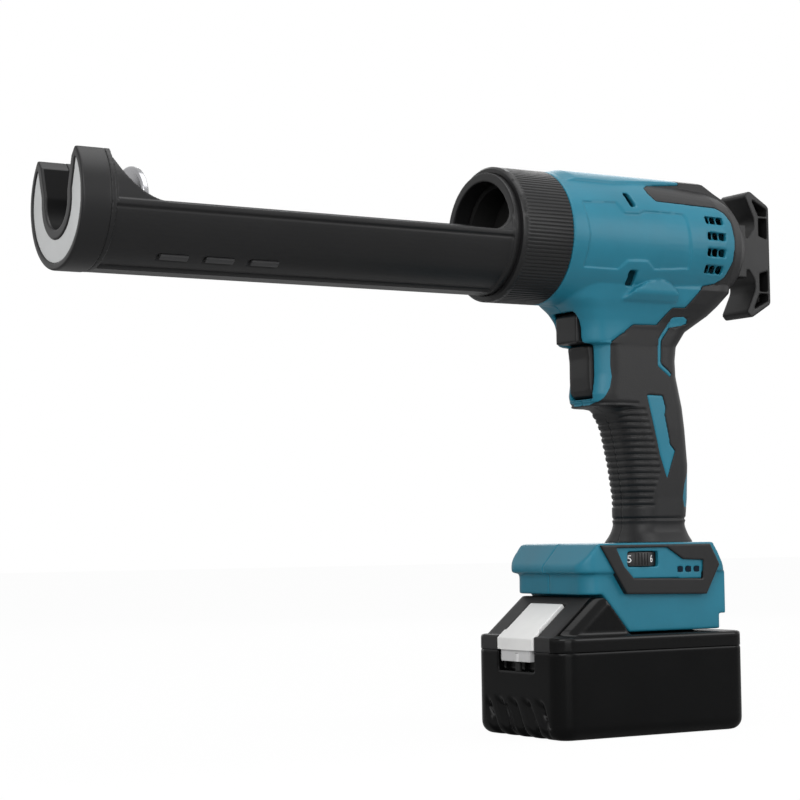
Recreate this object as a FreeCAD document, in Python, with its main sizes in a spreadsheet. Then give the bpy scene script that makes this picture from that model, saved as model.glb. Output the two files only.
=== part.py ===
import FreeCAD, Part
import Sketcher
import math
import os

# Cordless caulking tool, in millimetres.
# The part stands on its battery: the origin is the middle of the battery's bottom face, +Z is up,
# +X runs from the nose to the pull handle and +Y is the tool's right side.
# Every piece is drawn in the barrel's own frame, whose origin is the middle of the front cap's face,
# and its Placement then sets it back by nose_reach and up by axis_height.
# Sizes named as drops are depths below the barrel axis.

SIZES = (
    ("axis_height", 246.5, "barrel axis above the battery's bottom"),
    ("nose_reach", 297.0, "front cap's face ahead of the battery's middle"),
    ("gap", 0.3, "clearance between pieces that move on each other"),
    ("running_fit", 0.08, "clearance round a shaft or a guided bar"),
    # Front cap and its pad
    ("cap_radius", 30.4, ""),
    ("cap_depth", 13.5, ""),
    ("cap_rim", 0.8, "rounding of the cap's front edge"),
    ("nozzle_half", 12.5, "half the width of the nozzle slot"),
    ("horn_top", 21.0, "height of the cap's two horns above the axis"),
    ("horn_round", 3.6, "slope that ends each horn"),
    ("flare", 4.6, "widening of the nozzle slot towards its mouth, on each side"),
    ("flare_start", 3.0, "height where the slot begins to widen"),
    ("pad_inner", 16.9, "half width of the slot in the pad"),
    ("pad_outer", 27.1, ""),
    ("pad_recess", 2.2, ""),
    ("pad_thick", 1.7, ""),
    ("cap_screw_circle", 22.0, "radius of the cap screws' circle"),
    ("cap_screw_radius", 1.5, ""),
    ("cap_screw_length", 9.0, ""),
    # Barrel
    ("barrel_radius", 29.0, ""),
    ("barrel_wall", 2.8, ""),
    ("flange_radius", 30.2, ""),
    ("flange_thick", 2.5, ""),
    ("trough_drop", 1.7, "top edge of the trough"),
    ("gusset_radius", 30.0, "sweep from the trough's edge up to the front flange"),
    ("ring_sweep", 12.0, "sweep from the trough's edge up to the rear ring"),
    ("ring_start", 222.8, "front of the rear ring"),
    ("ring_boss", 30.2, "outer radius of the ring that shows"),
    ("ring_hole", 25.8, ""),
    ("ring_boss_length", 6.2, ""),
    ("clamp_flange", 31.4, "radius of the flange that the collar clamps"),
    ("clamp_thick", 3.0, ""),
    ("bead_height", 2.6, "rim bead along the trough's edge"),
    ("bead_proud", 0.8, ""),
    ("bead_groove", 1.0, "groove under the rim bead"),
    ("bead_groove_depth", 0.6, ""),
    ("keel_width", 14.0, ""),
    ("keel_proud", 0.5, ""),
    ("dash_start", 40.5, "first of the sight slots"),
    ("dash_pitch", 22.6, ""),
    ("dash_length", 14.5, ""),
    ("dash_height", 2.4, ""),
    ("dash_depth", 0.9, ""),
    ("dash_drop", 24.0, "middle of the sight slots"),
    # Locking collar
    ("collar_radius", 33.4, ""),
    ("collar_length", 28.9, ""),
    ("collar_lip", 2.8, ""),
    ("collar_bevel", 1.0, ""),
    ("collar_band", 3.4, "plain band ahead of the knurl"),
    ("knurl_depth", 0.5, ""),
    ("knurl_width", 1.2, ""),
    ("knurl_count", 110, "a count"),
    # Nose mount and rod guides
    ("mount_cup", 23.5, "inner radius of the nose mount's cup"),
    ("mount_cup_depth", 13.7, ""),
    ("mount_spigot", 29.6, "radius that seats in the housing"),
    ("mount_spigot_length", 7.0, ""),
    ("mount_keeper", 2.5, "housing flange behind the nose mount"),
    ("keeper_hole", 26.5, ""),
    ("guide_radius", 9.0, ""),
    ("guide_rear_length", 10.0, ""),
    # Rack rod and pusher
    ("rod_width", 9.0, ""),
    ("rod_height", 6.6, ""),
    ("tooth_module", 1.25, ""),
    ("pinion_teeth", 12, "a count"),
    ("rack_teeth", 51, "a count"),
    ("rack_addendum", 0.8, "short rack teeth keep clear of the small pinion's roots"),
    ("root_clearance", 0.35, ""),
    ("backlash", 0.2, ""),
    ("pusher_front", 33.5, ""),
    ("pusher_radius", 18.0, ""),
    ("pusher_thick", 3.0, ""),
    ("pusher_rim", 1.2, "rounding of the pusher's rim"),
    ("pusher_screw_radius", 2.5, ""),
    ("pusher_screw_length", 14.0, ""),
    # Pull handle
    ("handle_half", 10.5, "half width of the handle"),
    ("handle_back", 400.5, "rear face of the handle"),
    ("handle_sink", 1.2, "handle's middle below the barrel axis"),
    ("handle_bar", 9.0, "depth of the cross bar at the finger hollows"),
    ("handle_reach", 34.0, "from the handle's middle to the tip of each arm"),
    ("handle_shoulder", 8.0, "drop from the tip to the rear corner"),
    ("handle_hook", 16.5, "depth of the handle at its tips"),
    ("handle_tip", 3.0, "thickness of the tips"),
    ("handle_hollow", 16.0, "deepest place of the finger hollows"),
    ("handle_hollow_round", 8.0, ""),
    ("handle_tip_round", 2.0, ""),
    ("handle_hub", 14.5, "depth of the hub"),
    ("handle_hub_half", 8.5, ""),
    ("handle_plate_half", 14.0, "half height of the seat plate"),
    ("handle_plate_thick", 7.0, ""),
    ("handle_pocket", 7.5, "depth of the cored pockets in each side"),
    ("handle_skin", 1.6, "wall round the cored pockets"),
    ("handle_rib", 1.2, "cross rib in each pocket"),
    ("handle_rib_height", 19.5, ""),
    ("handle_pin_radius", 2.0, ""),
    ("handle_pin_half", 7.0, ""),
    # Upper housing, a turned form about the barrel axis
    ("body_clear", 0.6, "gap from the collar to the housing"),
    ("body_radius", 33.4, ""),
    ("body_taper_start", 312.0, ""),
    ("shoulder_x", 353.0, "where the rear dome begins"),
    ("shoulder_radius", 31.0, ""),
    ("haunch_x", 361.0, ""),
    ("haunch_radius", 29.4, ""),
    ("dome_x", 367.5, ""),
    ("dome_radius", 26.6, ""),
    ("brow_x", 373.0, ""),
    ("brow_radius", 22.2, ""),
    ("body_end", 377.0, ""),
    ("body_end_radius", 16.5, ""),
    ("spine_proud", 1.6, "raised band along the top of the body"),
    ("spine_start", 259.0, ""),
    ("spine_rise", 7.0, "slope at the front of the raised band"),
    ("spine_half", 20.4, "half width of the raised band at its front"),
    ("spine_rear_half", 13.0, ""),
    ("spine_taper_start", 290.0, ""),
    ("spine_taper_end", 338.0, ""),
    ("boss_half", 26.6, "half width over the bosses in the flanks"),
    ("wall", 2.8, "housing wall"),
    ("skin", 1.5, "thickness of the soft overmould"),
    ("panel_recess", 0.8, "depth of the bare side panel"),
    ("window_depth", 4.0, "depth of the slanted slots, through the wall"),
    ("vent_start", 340.8, ""),
    ("vent_length", 12.7, ""),
    ("vent_height", 4.0, ""),
    ("vent_pitch", 8.3, ""),
    ("vent_top", 13.2, ""),
    ("vent_bar", 1.0, "upright bars behind the vents"),
    ("vent_bar_sink", 1.3, ""),
    ("rib_thick", 2.5, "cross ribs inside the housing"),
    # Neck and grip
    ("neck_bottom", 84.0, "drop of the finger rest's underside"),
    ("neck_front", 282.3, "front of the neck behind the trigger"),
    ("neck_brow_front", 274.4, "front of the neck round the upper button"),
    ("neck_step", 52.9, "drop of the step between them"),
    ("neck_waist_rear", 335.0, ""),
    ("grip_half", 17.0, "half the width of the grip"),
    ("grip_top_front", 295.0, ""),
    ("grip_rear", 342.0, ""),
    ("grip_low_front", 306.2, ""),
    ("grip_waist_half", 15.7, "half the grip's width above its foot"),
    ("grip_waist_drop", 143.0, ""),
    ("grip_foot_half", 20.0, ""),
    ("grip_foot_front", 303.0, ""),
    ("grip_foot_rear", 343.0, ""),
    ("grip_round", 11.5, "rounding of the grip's section"),
    ("rib_count", 17, "a count"),
    ("rib_top", 81.8, "drop of the first groove between the grip's ribs"),
    ("rib_pitch", 3.2, ""),
    ("rib_groove", 1.5, ""),
    ("rib_depth", 0.7, ""),
    ("ring_groove_drop", 139.6, "groove round the grip above its foot"),
    # Base and its rails
    ("base_drop", 152.5, "top of the base"),
    ("base_half", 33.0, ""),
    ("base_front", 256.5, ""),
    ("base_rear", 347.0, ""),
    ("base_chamfer_run", 10.0, ""),
    ("base_chamfer_drop", 11.0, ""),
    ("base_slope_run", 9.0, "rear slope of the base"),
    ("base_band", 14.7, "height of the upper band"),
    ("base_step", 3.5, "setback of the lower band's front"),
    ("base_side_step", 2.0, "setback of the lower band's sides"),
    ("base_lower", 10.2, "height of the lower band"),
    ("base_round", 8.0, ""),
    ("base_round_rear", 5.0, ""),
    ("base_wall", 3.0, ""),
    ("skirt_drop", 196.0, "underside of the side skirts"),
    ("skirt_front", 270.0, ""),
    ("skirt_toe", 286.0, ""),
    ("skirt_heel", 4.0, "setback of the skirt's rear foot"),
    ("skirt_heel_drop", 188.3, ""),
    ("panel_proud", 1.2, "black side panel above the base's side"),
    ("rail_drop", 190.6, "top of the base's rails"),
    ("channel_drop", 181.2, "ceiling of the battery channel"),
    ("channel_end", 340.0, "rear wall of the battery channel"),
    # Drive
    ("pinion_x", 286.0, ""),
    ("pinion_width", 9.0, ""),
    ("pinion_room", 0.7, "clearance round the pinion in the gear case"),
    ("shaft_radius", 3.0, ""),
    ("shaft_half", 12.2, ""),
    ("bearing_radius", 5.5, ""),
    ("bearing_width", 4.0, ""),
    ("bearing_seat", 8.5, "inner face of each bearing from the middle"),
    ("case_half", 14.0, ""),
    ("case_start", 273.0, ""),
    ("case_end", 318.0, ""),
    ("case_top", 4.0, "drop of the gear case's top"),
    ("case_bottom", 31.0, ""),
    ("cover_thick", 1.5, ""),
    ("cover_inset", 4.0, ""),
    ("motor_radius", 12.0, ""),
    ("motor_drop", 18.8, ""),
    ("motor_length", 32.0, ""),
    ("motor_cap_length", 5.0, ""),
    ("motor_cap_radius", 11.0, ""),
    # Trigger, button above it and switch
    ("trigger_half", 9.0, ""),
    ("trigger_front", 280.0, ""),
    ("trigger_top", 53.4, "drop"),
    ("trigger_bottom", 80.0, "drop"),
    ("trigger_inner", 292.2, "inner end of the trigger"),
    ("trigger_flange", 2.5, "flange that keeps the trigger in its slot"),
    ("trigger_drop", 66.5, "line of the trigger's spring"),
    ("keeper_margin", 3.2, "how much shorter each keeper is than its piece, at both ends"),
    ("button_half", 8.8, ""),
    ("button_front", 273.2, ""),
    ("button_top", 37.0, "drop"),
    ("button_bottom", 52.4, "drop"),
    ("button_inner", 285.0, ""),
    ("button_seat", 293.0, "rib behind the button's spring"),
    ("flange_depth", 4.0, "depth of both flanges"),
    ("switch_front", 300.0, ""),
    ("switch_rear", 324.0, ""),
    ("switch_top", 48.0, "drop"),
    ("switch_bottom", 79.0, "drop"),
    ("spring_radius", 3.0, ""),
    ("spring_wall", 0.9, ""),
    ("spring_pocket", 5.0, "depth of the springs' pockets"),
    # Controls in the base
    ("dial_x", 293.5, ""),
    ("dial_radius", 13.5, ""),
    ("dial_drop", 157.0, ""),
    ("dial_thick", 7.0, ""),
    ("dial_proud", 1.0, "rim of the dial beyond the base's side"),
    ("dial_window", 9.5, "half length of the dial's window"),
    ("dial_flutes", 36, "a count"),
    ("dial_flute_depth", 0.5, ""),
    ("pot_radius", 5.0, ""),
    ("pot_shaft", 2.0, ""),
    ("board_drop", 171.0, ""),
    ("board_thick", 1.6, ""),
    ("board_start", 272.0, ""),
    ("board_end", 334.0, ""),
    ("lamp_x", 315.0, "first of the indicator windows"),
    ("lamp_pitch", 5.2, ""),
    ("lamp_width", 3.2, ""),
    ("lamp_height", 2.6, ""),
    ("lamp_drop", 165.8, ""),
    ("lamp_proud", 0.2, ""),
    ("blade_thick", 0.8, ""),
    ("blade_height", 4.0, ""),
    ("blade_length", 16.0, ""),
    ("blade_offset", 12.0, ""),
    ("block_depth", 6.0, "depth of the terminal block"),
    ("block_half", 20.0, ""),
    # Battery
    ("battery_front", 239.3, ""),
    ("battery_length", 115.2, ""),
    ("battery_half", 37.45, ""),
    ("battery_seam", 204.5, "drop of the seam between the two cases"),
    ("battery_deck", 197.2, "drop of the top of the battery's main block"),
    ("battery_crest", 178.8, "drop of the top of the front wedge"),
    ("slope_foot", 199.0, "drop of the foot of the front slope"),
    ("slope_top_x", 263.4, ""),
    ("crest_rear", 269.6, ""),
    ("wedge_end", 284.4, ""),
    ("wedge_half", 34.0, ""),
    ("wedge_round", 8.0, ""),
    ("battery_round", 10.0, ""),
    ("battery_round_rear", 7.5, ""),
    ("battery_foot", 6.0, "rounding of the battery's bottom edge"),
    ("groove_depth", 1.2, "slanted grooves low on the battery's front"),
    ("groove_width", 2.4, ""),
    ("battery_wall", 2.2, ""),
    ("head_half", 26.0, "half width of the battery's rail head"),
    ("waist_half", 21.5, "half width of the battery's rail waist"),
    ("head_start", 262.0, ""),
    ("head_end", 333.5, ""),
    ("cell_radius", 9.15, ""),
    ("cell_length", 65.0, ""),
    ("cell_pitch", 18.6, ""),
    ("latch_half", 15.0, ""),
    ("latch_plate_half", 13.5, ""),
    ("latch_out", 0.6, "latch beyond the battery's front"),
    ("latch_thick", 4.8, ""),
    ("latch_proud", 1.2, ""),
    ("latch_plate", 2.9, ""),
    ("latch_top_x", 258.3, ""),
    ("latch_split", 204.0, "drop of the lip's underside"),
    ("latch_tab_half", 12.0, ""),
    ("latch_foot", 209.6, "drop of the latch's lower end"),
    ("latch_travel", 4.0, ""),
    ("latch_spring_radius", 1.6, ""),
    ("latch_spring_wall", 0.6, ""),
    # Fasteners
    ("screw_radius", 1.5, ""),
    ("screw_head", 2.8, ""),
    ("screw_head_height", 2.5, ""),
    ("screw_half", 9.0, "from the middle to the screw's head and to its tip"),
    ("screw_boss", 4.6, ""),
)


class Size:
    """A length from the sheet, or one worked out from such lengths: its number and its formula."""

    def __init__(self, value, text):
        self.value = value
        self.text = text

    def __add__(self, other):
        other = size(other)
        return Size(self.value + other.value, "(%s + %s)" % (self.text, other.text))

    def __sub__(self, other):
        other = size(other)
        return Size(self.value - other.value, "(%s - %s)" % (self.text, other.text))

    def __mul__(self, other):
        other = size(other)
        return Size(self.value * other.value, "(%s * %s)" % (self.text, other.text))

    def __truediv__(self, other):
        other = size(other)
        return Size(self.value / other.value, "(%s / %s)" % (self.text, other.text))

    def __neg__(self):
        return Size(-self.value, "(0 - %s)" % self.text)

    def __radd__(self, other):
        return size(other) + self

    def __rsub__(self, other):
        return size(other) - self

    def __rmul__(self, other):
        return size(other) * self


def size(value):
    """Give a plain number the form of a Size."""
    if isinstance(value, Size):
        return value
    return Size(float(value), "%.6f" % value)


doc = FreeCAD.newDocument("caulking_tool")
sheet = doc.addObject("Spreadsheet::Sheet", "dims")


class Dims:
    """The sheet's values by name."""


d = Dims()
for row, (alias, value, note) in enumerate(SIZES, start=1):
    sheet.set("A%d" % row, alias)
    sheet.set("B%d" % row, str(value))
    sheet.set("C%d" % row, note)
    sheet.setAlias("B%d" % row, alias)
    setattr(d, alias, Size(float(value), "dims.%s" % alias))
doc.recompute()

ALONG_X = FreeCAD.Rotation(FreeCAD.Vector(0, 1, 0), 90)
ALONG_Y = FreeCAD.Rotation(FreeCAD.Vector(1, 0, 0), -90)
ALONG_Z = FreeCAD.Rotation()
FAR = 60
nodes = []
spots = {}


def bind(obj, prop, value):
    """Tie one property to the sheet."""
    obj.setExpression(prop, size(value).text)


def place(obj, x, y, z):
    """Tie an object's place to the sheet."""
    spots[obj.Name] = (size(x), size(y), size(z))
    for axis, value in zip("xyz", (x, y, z)):
        bind(obj, "Placement.Base." + axis, value)


def node(obj, name):
    """Name a finished sub-part and set it from the barrel's frame into the part's frame."""
    x, y, z = spots.get(obj.Name, (size(0), size(0), size(0)))
    place(obj, x - d.nose_reach, y, z + d.axis_height)
    obj.Label = name
    nodes.append(obj)


def block(name, x, y, z):
    """A box between two limits on each axis."""
    box = doc.addObject("Part::Box", name)
    for prop, span in (("Length", x), ("Width", y), ("Height", z)):
        bind(box, prop, size(span[1]) - span[0])
    place(box, x[0], y[0], z[0])
    return box


def bar(name, rotation, radius, length, x, y, z):
    """A cylinder that starts at a point and runs along one axis."""
    cylinder = doc.addObject("Part::Cylinder", name)
    cylinder.Placement.Rotation = rotation
    bind(cylinder, "Radius", radius)
    bind(cylinder, "Height", length)
    place(cylinder, x, y, z)
    return cylinder


def both_ways(half):
    """The span of a width that is centred on the tool's middle."""
    return -size(half), size(half)


def fuse(name, shapes):
    union = doc.addObject("Part::MultiFuse", name)
    union.Shapes = shapes
    return union


def cut(name, base, tools):
    """Take one tool or several away from a base."""
    result = doc.addObject("Part::Cut", name)
    result.Base = base
    result.Tool = tools[0] if len(tools) == 1 else fuse(name + "_tools", tools)
    return result


def common(name, first, second):
    result = doc.addObject("Part::Common", name)
    result.Base = first
    result.Tool = second
    return result


def origin_part(body, role):
    return [feature for feature in body.Origin.OriginFeatures if feature.Role == role][0]


def start_sketch(body, plane, offset):
    """An empty sketch on one of the body's own planes, moved along that plane's normal."""
    sketch = body.newObject("Sketcher::SketchObject", body.Name + "_sketch")
    sketch.AttachmentSupport = [(origin_part(body, plane + "_Plane"), "")]
    sketch.MapMode = "FlatFace"
    bind(sketch, "AttachmentOffset.Base.z", offset)
    return sketch


def polygon(sketch, points):
    """Straight edges through points whose two coordinates are all tied to the sheet."""
    points = [(size(u), size(v)) for u, v in points]
    count = len(points)
    corners = [FreeCAD.Vector(u.value, v.value, 0) for u, v in points]
    edges = [Part.LineSegment(corners[i], corners[(i + 1) % count]) for i in range(count)]
    sketch.addGeometry(edges, False)
    joints = [Sketcher.Constraint("Coincident", i, 2, (i + 1) % count, 1) for i in range(count)]
    for i, corner in enumerate(corners):
        joints.append(Sketcher.Constraint("DistanceX", -1, 1, i, 1, corner.x))
        joints.append(Sketcher.Constraint("DistanceY", -1, 1, i, 1, corner.y))
    sketch.addConstraint(joints)
    for i, (u, v) in enumerate(points):
        sketch.setExpression("Constraints[%d]" % (count + 2 * i), u.text)
        sketch.setExpression("Constraints[%d]" % (count + 2 * i + 1), v.text)


def add_pad(body, sketch, length, symmetric=False, kind="Pad"):
    """Pad or pocket a sketch of a body, to one side of its plane or to both."""
    feature = body.newObject("PartDesign::" + kind, body.Name + "_" + kind.lower())
    feature.Profile = sketch
    bind(feature, "Length", length)
    if symmetric:
        feature.SideType = "Symmetric"
    return feature


def prism(name, plane, points, start, length, symmetric=False):
    """A body padded from one closed outline. On the XZ plane the pad runs towards -Y."""
    body = doc.addObject("PartDesign::Body", name)
    sketch = start_sketch(body, plane, start)
    polygon(sketch, points)
    add_pad(body, sketch, length, symmetric)
    doc.recompute()
    return body


def side_prism(name, points, half=FAR):
    """A body padded to both sides from an outline in side view."""
    return prism(name, "XZ", points, 0, size(half) * 2, symmetric=True)


def round_blank(name, plane, radius, length, symmetric=False):
    """A body padded from a circle about its own origin."""
    body = doc.addObject("PartDesign::Body", name)
    sketch = start_sketch(body, plane, 0)
    sketch.addGeometry(Part.Circle(FreeCAD.Vector(), FreeCAD.Vector(0, 0, 1), size(radius).value), False)
    sketch.addConstraint(Sketcher.Constraint("Coincident", 0, 3, -1, 1))
    index = sketch.addConstraint(Sketcher.Constraint("Radius", 0, size(radius).value))
    bind(sketch, "Constraints[%d]" % index, radius)
    add_pad(body, sketch, length, symmetric)
    doc.recompute()
    return body


def repeat_round(body, feature, axis, count):
    """Repeat a body's feature evenly about one of its own axes."""
    pattern = body.newObject("PartDesign::PolarPattern", body.Name + "_pattern")
    pattern.Originals = [feature]
    pattern.Axis = (origin_part(body, axis + "_Axis"), [""])
    pattern.Angle = 360
    bind(pattern, "Occurrences", count)
    body.Tip = pattern
    doc.recompute()


def turned(name, points):
    """A body turned about the barrel axis from a half section of (x, radius) points."""
    body = doc.addObject("PartDesign::Body", name)
    sketch = start_sketch(body, "XZ", 0)
    polygon(sketch, points)
    turn = body.newObject("PartDesign::Revolution", name + "_turn")
    turn.Profile = sketch
    turn.ReferenceAxis = (sketch, ["H_Axis"])
    turn.Angle = 360
    doc.recompute()
    return body


def round_edges(body, radius, wanted):
    """Round those edges of a body's tip for which wanted(edge) is true."""
    tip = body.Tip
    names = ["Edge%d" % (i + 1) for i, edge in enumerate(tip.Shape.Edges) if wanted(edge)]
    fillet = body.newObject("PartDesign::Fillet", body.Name + "_round")
    fillet.Base = (tip, names)
    bind(fillet, "Radius", radius)
    doc.recompute()
    return body


def edge_at(axis, *spots_on_edges):
    """A test for straight edges along one axis through given places on the other two axes."""
    others = [i for i in range(3) if i != axis]
    places = [[size(part).value for part in spot] for spot in spots_on_edges]

    def wanted(edge):
        if not isinstance(edge.Curve, Part.Line):
            return False
        if abs(edge.Curve.Direction[axis]) < 0.999:
            return False
        middle = edge.CenterOfMass
        return any(
            abs(middle[others[0]] - first) < 0.01 and abs(middle[others[1]] - second) < 0.01
            for first, second in places)
    return wanted


def circle_at(x, radius):
    """A test for the circular edges at one station of the barrel axis with one radius."""
    x = size(x).value
    radius = size(radius).value

    def wanted(edge):
        if not isinstance(edge.Curve, Part.Circle):
            return False
        return abs(edge.Curve.Center.x - x) < 0.01 and abs(edge.Curve.Radius - radius) < 0.01
    return wanted


def rounded_section(name, x0, x1, half, radius, z):
    """A level sketch of a rectangle with equal round corners, symmetrical about the tool's middle."""
    x0, x1, half, radius = size(x0), size(x1), size(half), size(radius)
    sketch = doc.addObject("Sketcher::SketchObject", name)
    bind(sketch, "Placement.Base.z", z)
    left, right, top, low = x0.value, x1.value, half.value, -half.value
    r = radius.value
    centres = ((right - r, top - r, 0), (left + r, top - r, 90),
               (left + r, low + r, 180), (right - r, low + r, 270))
    geometry = []
    for cx, cy, start in centres:
        ring = Part.Circle(FreeCAD.Vector(cx, cy, 0), FreeCAD.Vector(0, 0, 1), r)
        geometry.append(Part.ArcOfCircle(ring, math.radians(start), math.radians(start + 90)))
    for i in range(4):
        geometry.append(Part.LineSegment(geometry[i].EndPoint, geometry[(i + 1) % 4].StartPoint))
    sketch.addGeometry(geometry, False)
    joints = []
    for i in range(4):
        joints.append(Sketcher.Constraint("Tangent", i, 2, 4 + i, 1))
        joints.append(Sketcher.Constraint("Tangent", 4 + i, 2, (i + 1) % 4, 1))
    joints += [Sketcher.Constraint("Horizontal", 4), Sketcher.Constraint("Vertical", 5),
               Sketcher.Constraint("Horizontal", 6), Sketcher.Constraint("Vertical", 7)]
    joints += [Sketcher.Constraint("Equal", 0, i) for i in (1, 2, 3)]
    sketch.addConstraint(joints)
    for kind, edge, value in (("DistanceY", 4, half), ("DistanceX", 5, x0),
                              ("DistanceY", 6, -half), ("DistanceX", 7, x1)):
        index = sketch.addConstraint(Sketcher.Constraint(kind, -1, 1, edge, 1, value.value))
        bind(sketch, "Constraints[%d]" % index, value)
    index = sketch.addConstraint(Sketcher.Constraint("Radius", 0, r))
    bind(sketch, "Constraints[%d]" % index, radius)
    return sketch


def loft(name, sections):
    """A solid through level sections given as (drop, front, rear, half, rounding)."""
    result = doc.addObject("Part::Loft", name)
    result.Sections = [
        rounded_section("%s_%d" % (name, i), front, rear, half, rounding, -size(drop))
        for i, (drop, front, rear, half, rounding) in enumerate(sections)]
    result.Solid = True
    result.Ruled = True
    return result


# Front cap: a thick disc with a slot for the nozzle and a recess for the pad in its face

def slot_tool(name, half, x0, x1):
    """A U-shaped bar along the axis, round below and widening to an open mouth above."""
    round_part = bar(name + "_round", ALONG_X, half, size(x1) - x0, x0, 0, 0)
    flare_top = d.horn_top - d.horn_round
    side = [(half, 0), (half, d.flare_start), (half + d.flare, flare_top),
            (half + d.flare + d.horn_round, d.horn_top), (d.cap_radius * 2, d.horn_top),
            (d.cap_radius * 2, d.cap_radius * 2)]
    outline = side + [(-size(y), z) for y, z in reversed(side)]
    mouth = prism(name + "_mouth", "YZ", outline, x0, size(x1) - x0)
    return fuse(name, [round_part, mouth])


def pad_ring(name, outer, inner, x0, x1):
    """The U-shaped band between a disc and a wider slot."""
    disc = bar(name + "_disc", ALONG_X, outer, size(x1) - x0, x0, 0, 0)
    return cut(name, disc, [slot_tool(name + "_slot", inner, size(x0) - 1, size(x1) + 1)])


CAP_SCREW_ANGLES = (-150, -90, -30)


def cap_screw_bars(name):
    """Three bars from the barrel's flange forward into the cap."""
    start = d.cap_depth + d.flange_thick - d.cap_screw_length
    bars = []
    for i, angle in enumerate(CAP_SCREW_ANGLES):
        y = d.cap_screw_circle * math.cos(math.radians(angle))
        z = d.cap_screw_circle * math.sin(math.radians(angle))
        bars.append(bar("%s_%d" % (name, i), ALONG_X, d.cap_screw_radius, d.cap_screw_length, start, y, z))
    return fuse(name, bars)


cap_disc = turned("cap_disc", [
    (0, 0), (d.cap_depth, 0), (d.cap_depth, d.cap_radius), (0, d.cap_radius)])
round_edges(cap_disc, d.cap_rim, circle_at(0, d.cap_radius))
nozzle_slot = slot_tool("nozzle_slot", d.nozzle_half, -5, d.cap_depth + d.flange_thick + 5)
pad_room = pad_ring("pad_room", d.pad_outer, d.pad_inner, -1, d.pad_recess)
cap_screw_holes = cap_screw_bars("cap_screw_holes")
node(cut("cap_solid", cap_disc, [nozzle_slot, pad_room, cap_screw_holes]), "front_cap")
node(pad_ring("pad_solid", d.pad_outer, d.pad_inner, d.pad_recess - d.pad_thick, d.pad_recess), "front_pad")
node(cap_screw_bars("cap_screw_set"), "cap_screws")

# Barrel: a half tube between a slotted front flange and a full rear ring

flange_back = d.cap_depth + d.flange_thick
barrel_inner = d.barrel_radius - d.barrel_wall
ring_end = d.ring_start + d.ring_boss_length
clamp_end = ring_end + d.clamp_thick
tube = turned("barrel_tube", [
    (d.cap_depth, barrel_inner), (d.cap_depth, d.barrel_radius),
    (d.ring_start, d.barrel_radius), (d.ring_start, d.ring_boss), (ring_end, d.ring_boss),
    (ring_end, d.clamp_flange), (clamp_end, d.clamp_flange), (clamp_end, d.ring_hole),
    (d.ring_start, d.ring_hole), (d.ring_start, barrel_inner)])
bead_ring = turned("bead_ring", [
    (flange_back, d.barrel_radius - 1), (d.ring_start, d.barrel_radius - 1),
    (d.ring_start, d.barrel_radius + d.bead_proud), (flange_back, d.barrel_radius + d.bead_proud)])
bead_band = block("bead_band", (d.cap_depth, d.ring_start), both_ways(d.cap_radius * 2),
                  (-d.trough_drop - d.bead_height, -d.trough_drop))
rim_beads = common("rim_beads", bead_ring, bead_band)
keel = block("keel", (flange_back, d.ring_start), both_ways(d.keel_width / 2),
             (-d.barrel_radius - d.keel_proud, -d.barrel_radius + d.barrel_wall / 2))
flange_wall = bar("flange_wall", ALONG_X, d.flange_radius, d.flange_thick, d.cap_depth, 0, 0)
opening_front = d.cap_depth + d.flange_thick / 2
opening = side_prism("trough_opening", [
    (opening_front, -d.trough_drop), (d.ring_start, -d.trough_drop),
    (d.ring_start, d.barrel_radius * 2), (opening_front, d.barrel_radius * 2)])
round_edges(opening, d.gusset_radius, edge_at(1, (opening_front, -d.trough_drop)))
round_edges(opening, d.ring_sweep, edge_at(1, (d.ring_start, -d.trough_drop)))
flange_keep = block("flange_keep", (d.cap_depth - 1, flange_back), both_ways(d.barrel_radius * 4),
                    (-d.barrel_radius * 2, d.barrel_radius * 3))
open_top = cut("open_top", opening, [flange_keep])
dash_ring = turned("dash_ring", [
    (flange_back, d.barrel_radius - d.dash_depth), (d.ring_start, d.barrel_radius - d.dash_depth),
    (d.ring_start, d.barrel_radius + d.dash_depth), (flange_back, d.barrel_radius + d.dash_depth)])
dash_bands = fuse("dash_bands", [
    block("dash_band_%d" % i, (d.dash_start + d.dash_pitch * i,
                               d.dash_start + d.dash_pitch * i + d.dash_length),
          both_ways(d.barrel_radius * 2), (-d.dash_drop - d.dash_height / 2,
                                           -d.dash_drop + d.dash_height / 2))
    for i in range(3)])
sight_slots = common("sight_slots", dash_ring, dash_bands)
groove_ring = turned("groove_ring", [
    (flange_back, d.barrel_radius - d.bead_groove_depth), (d.ring_start,
                                                           d.barrel_radius - d.bead_groove_depth),
    (d.ring_start, d.barrel_radius + d.bead_proud), (flange_back, d.barrel_radius + d.bead_proud)])
groove_top = -d.trough_drop - d.bead_height
rim_grooves = common("rim_grooves", groove_ring, block(
    "groove_band", (d.cap_depth, d.ring_start), both_ways(d.cap_radius * 2),
    (groove_top - d.bead_groove, groove_top)))
barrel_blank = fuse("barrel_blank", [tube, rim_beads, keel, flange_wall])
node(cut("barrel_solid", barrel_blank, [open_top, nozzle_slot, cap_screw_holes, sight_slots, rim_grooves]),
     "barrel_trough")

# Locking collar: a knurled ring nut that draws the barrel's rear ring against the nose mount

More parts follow.
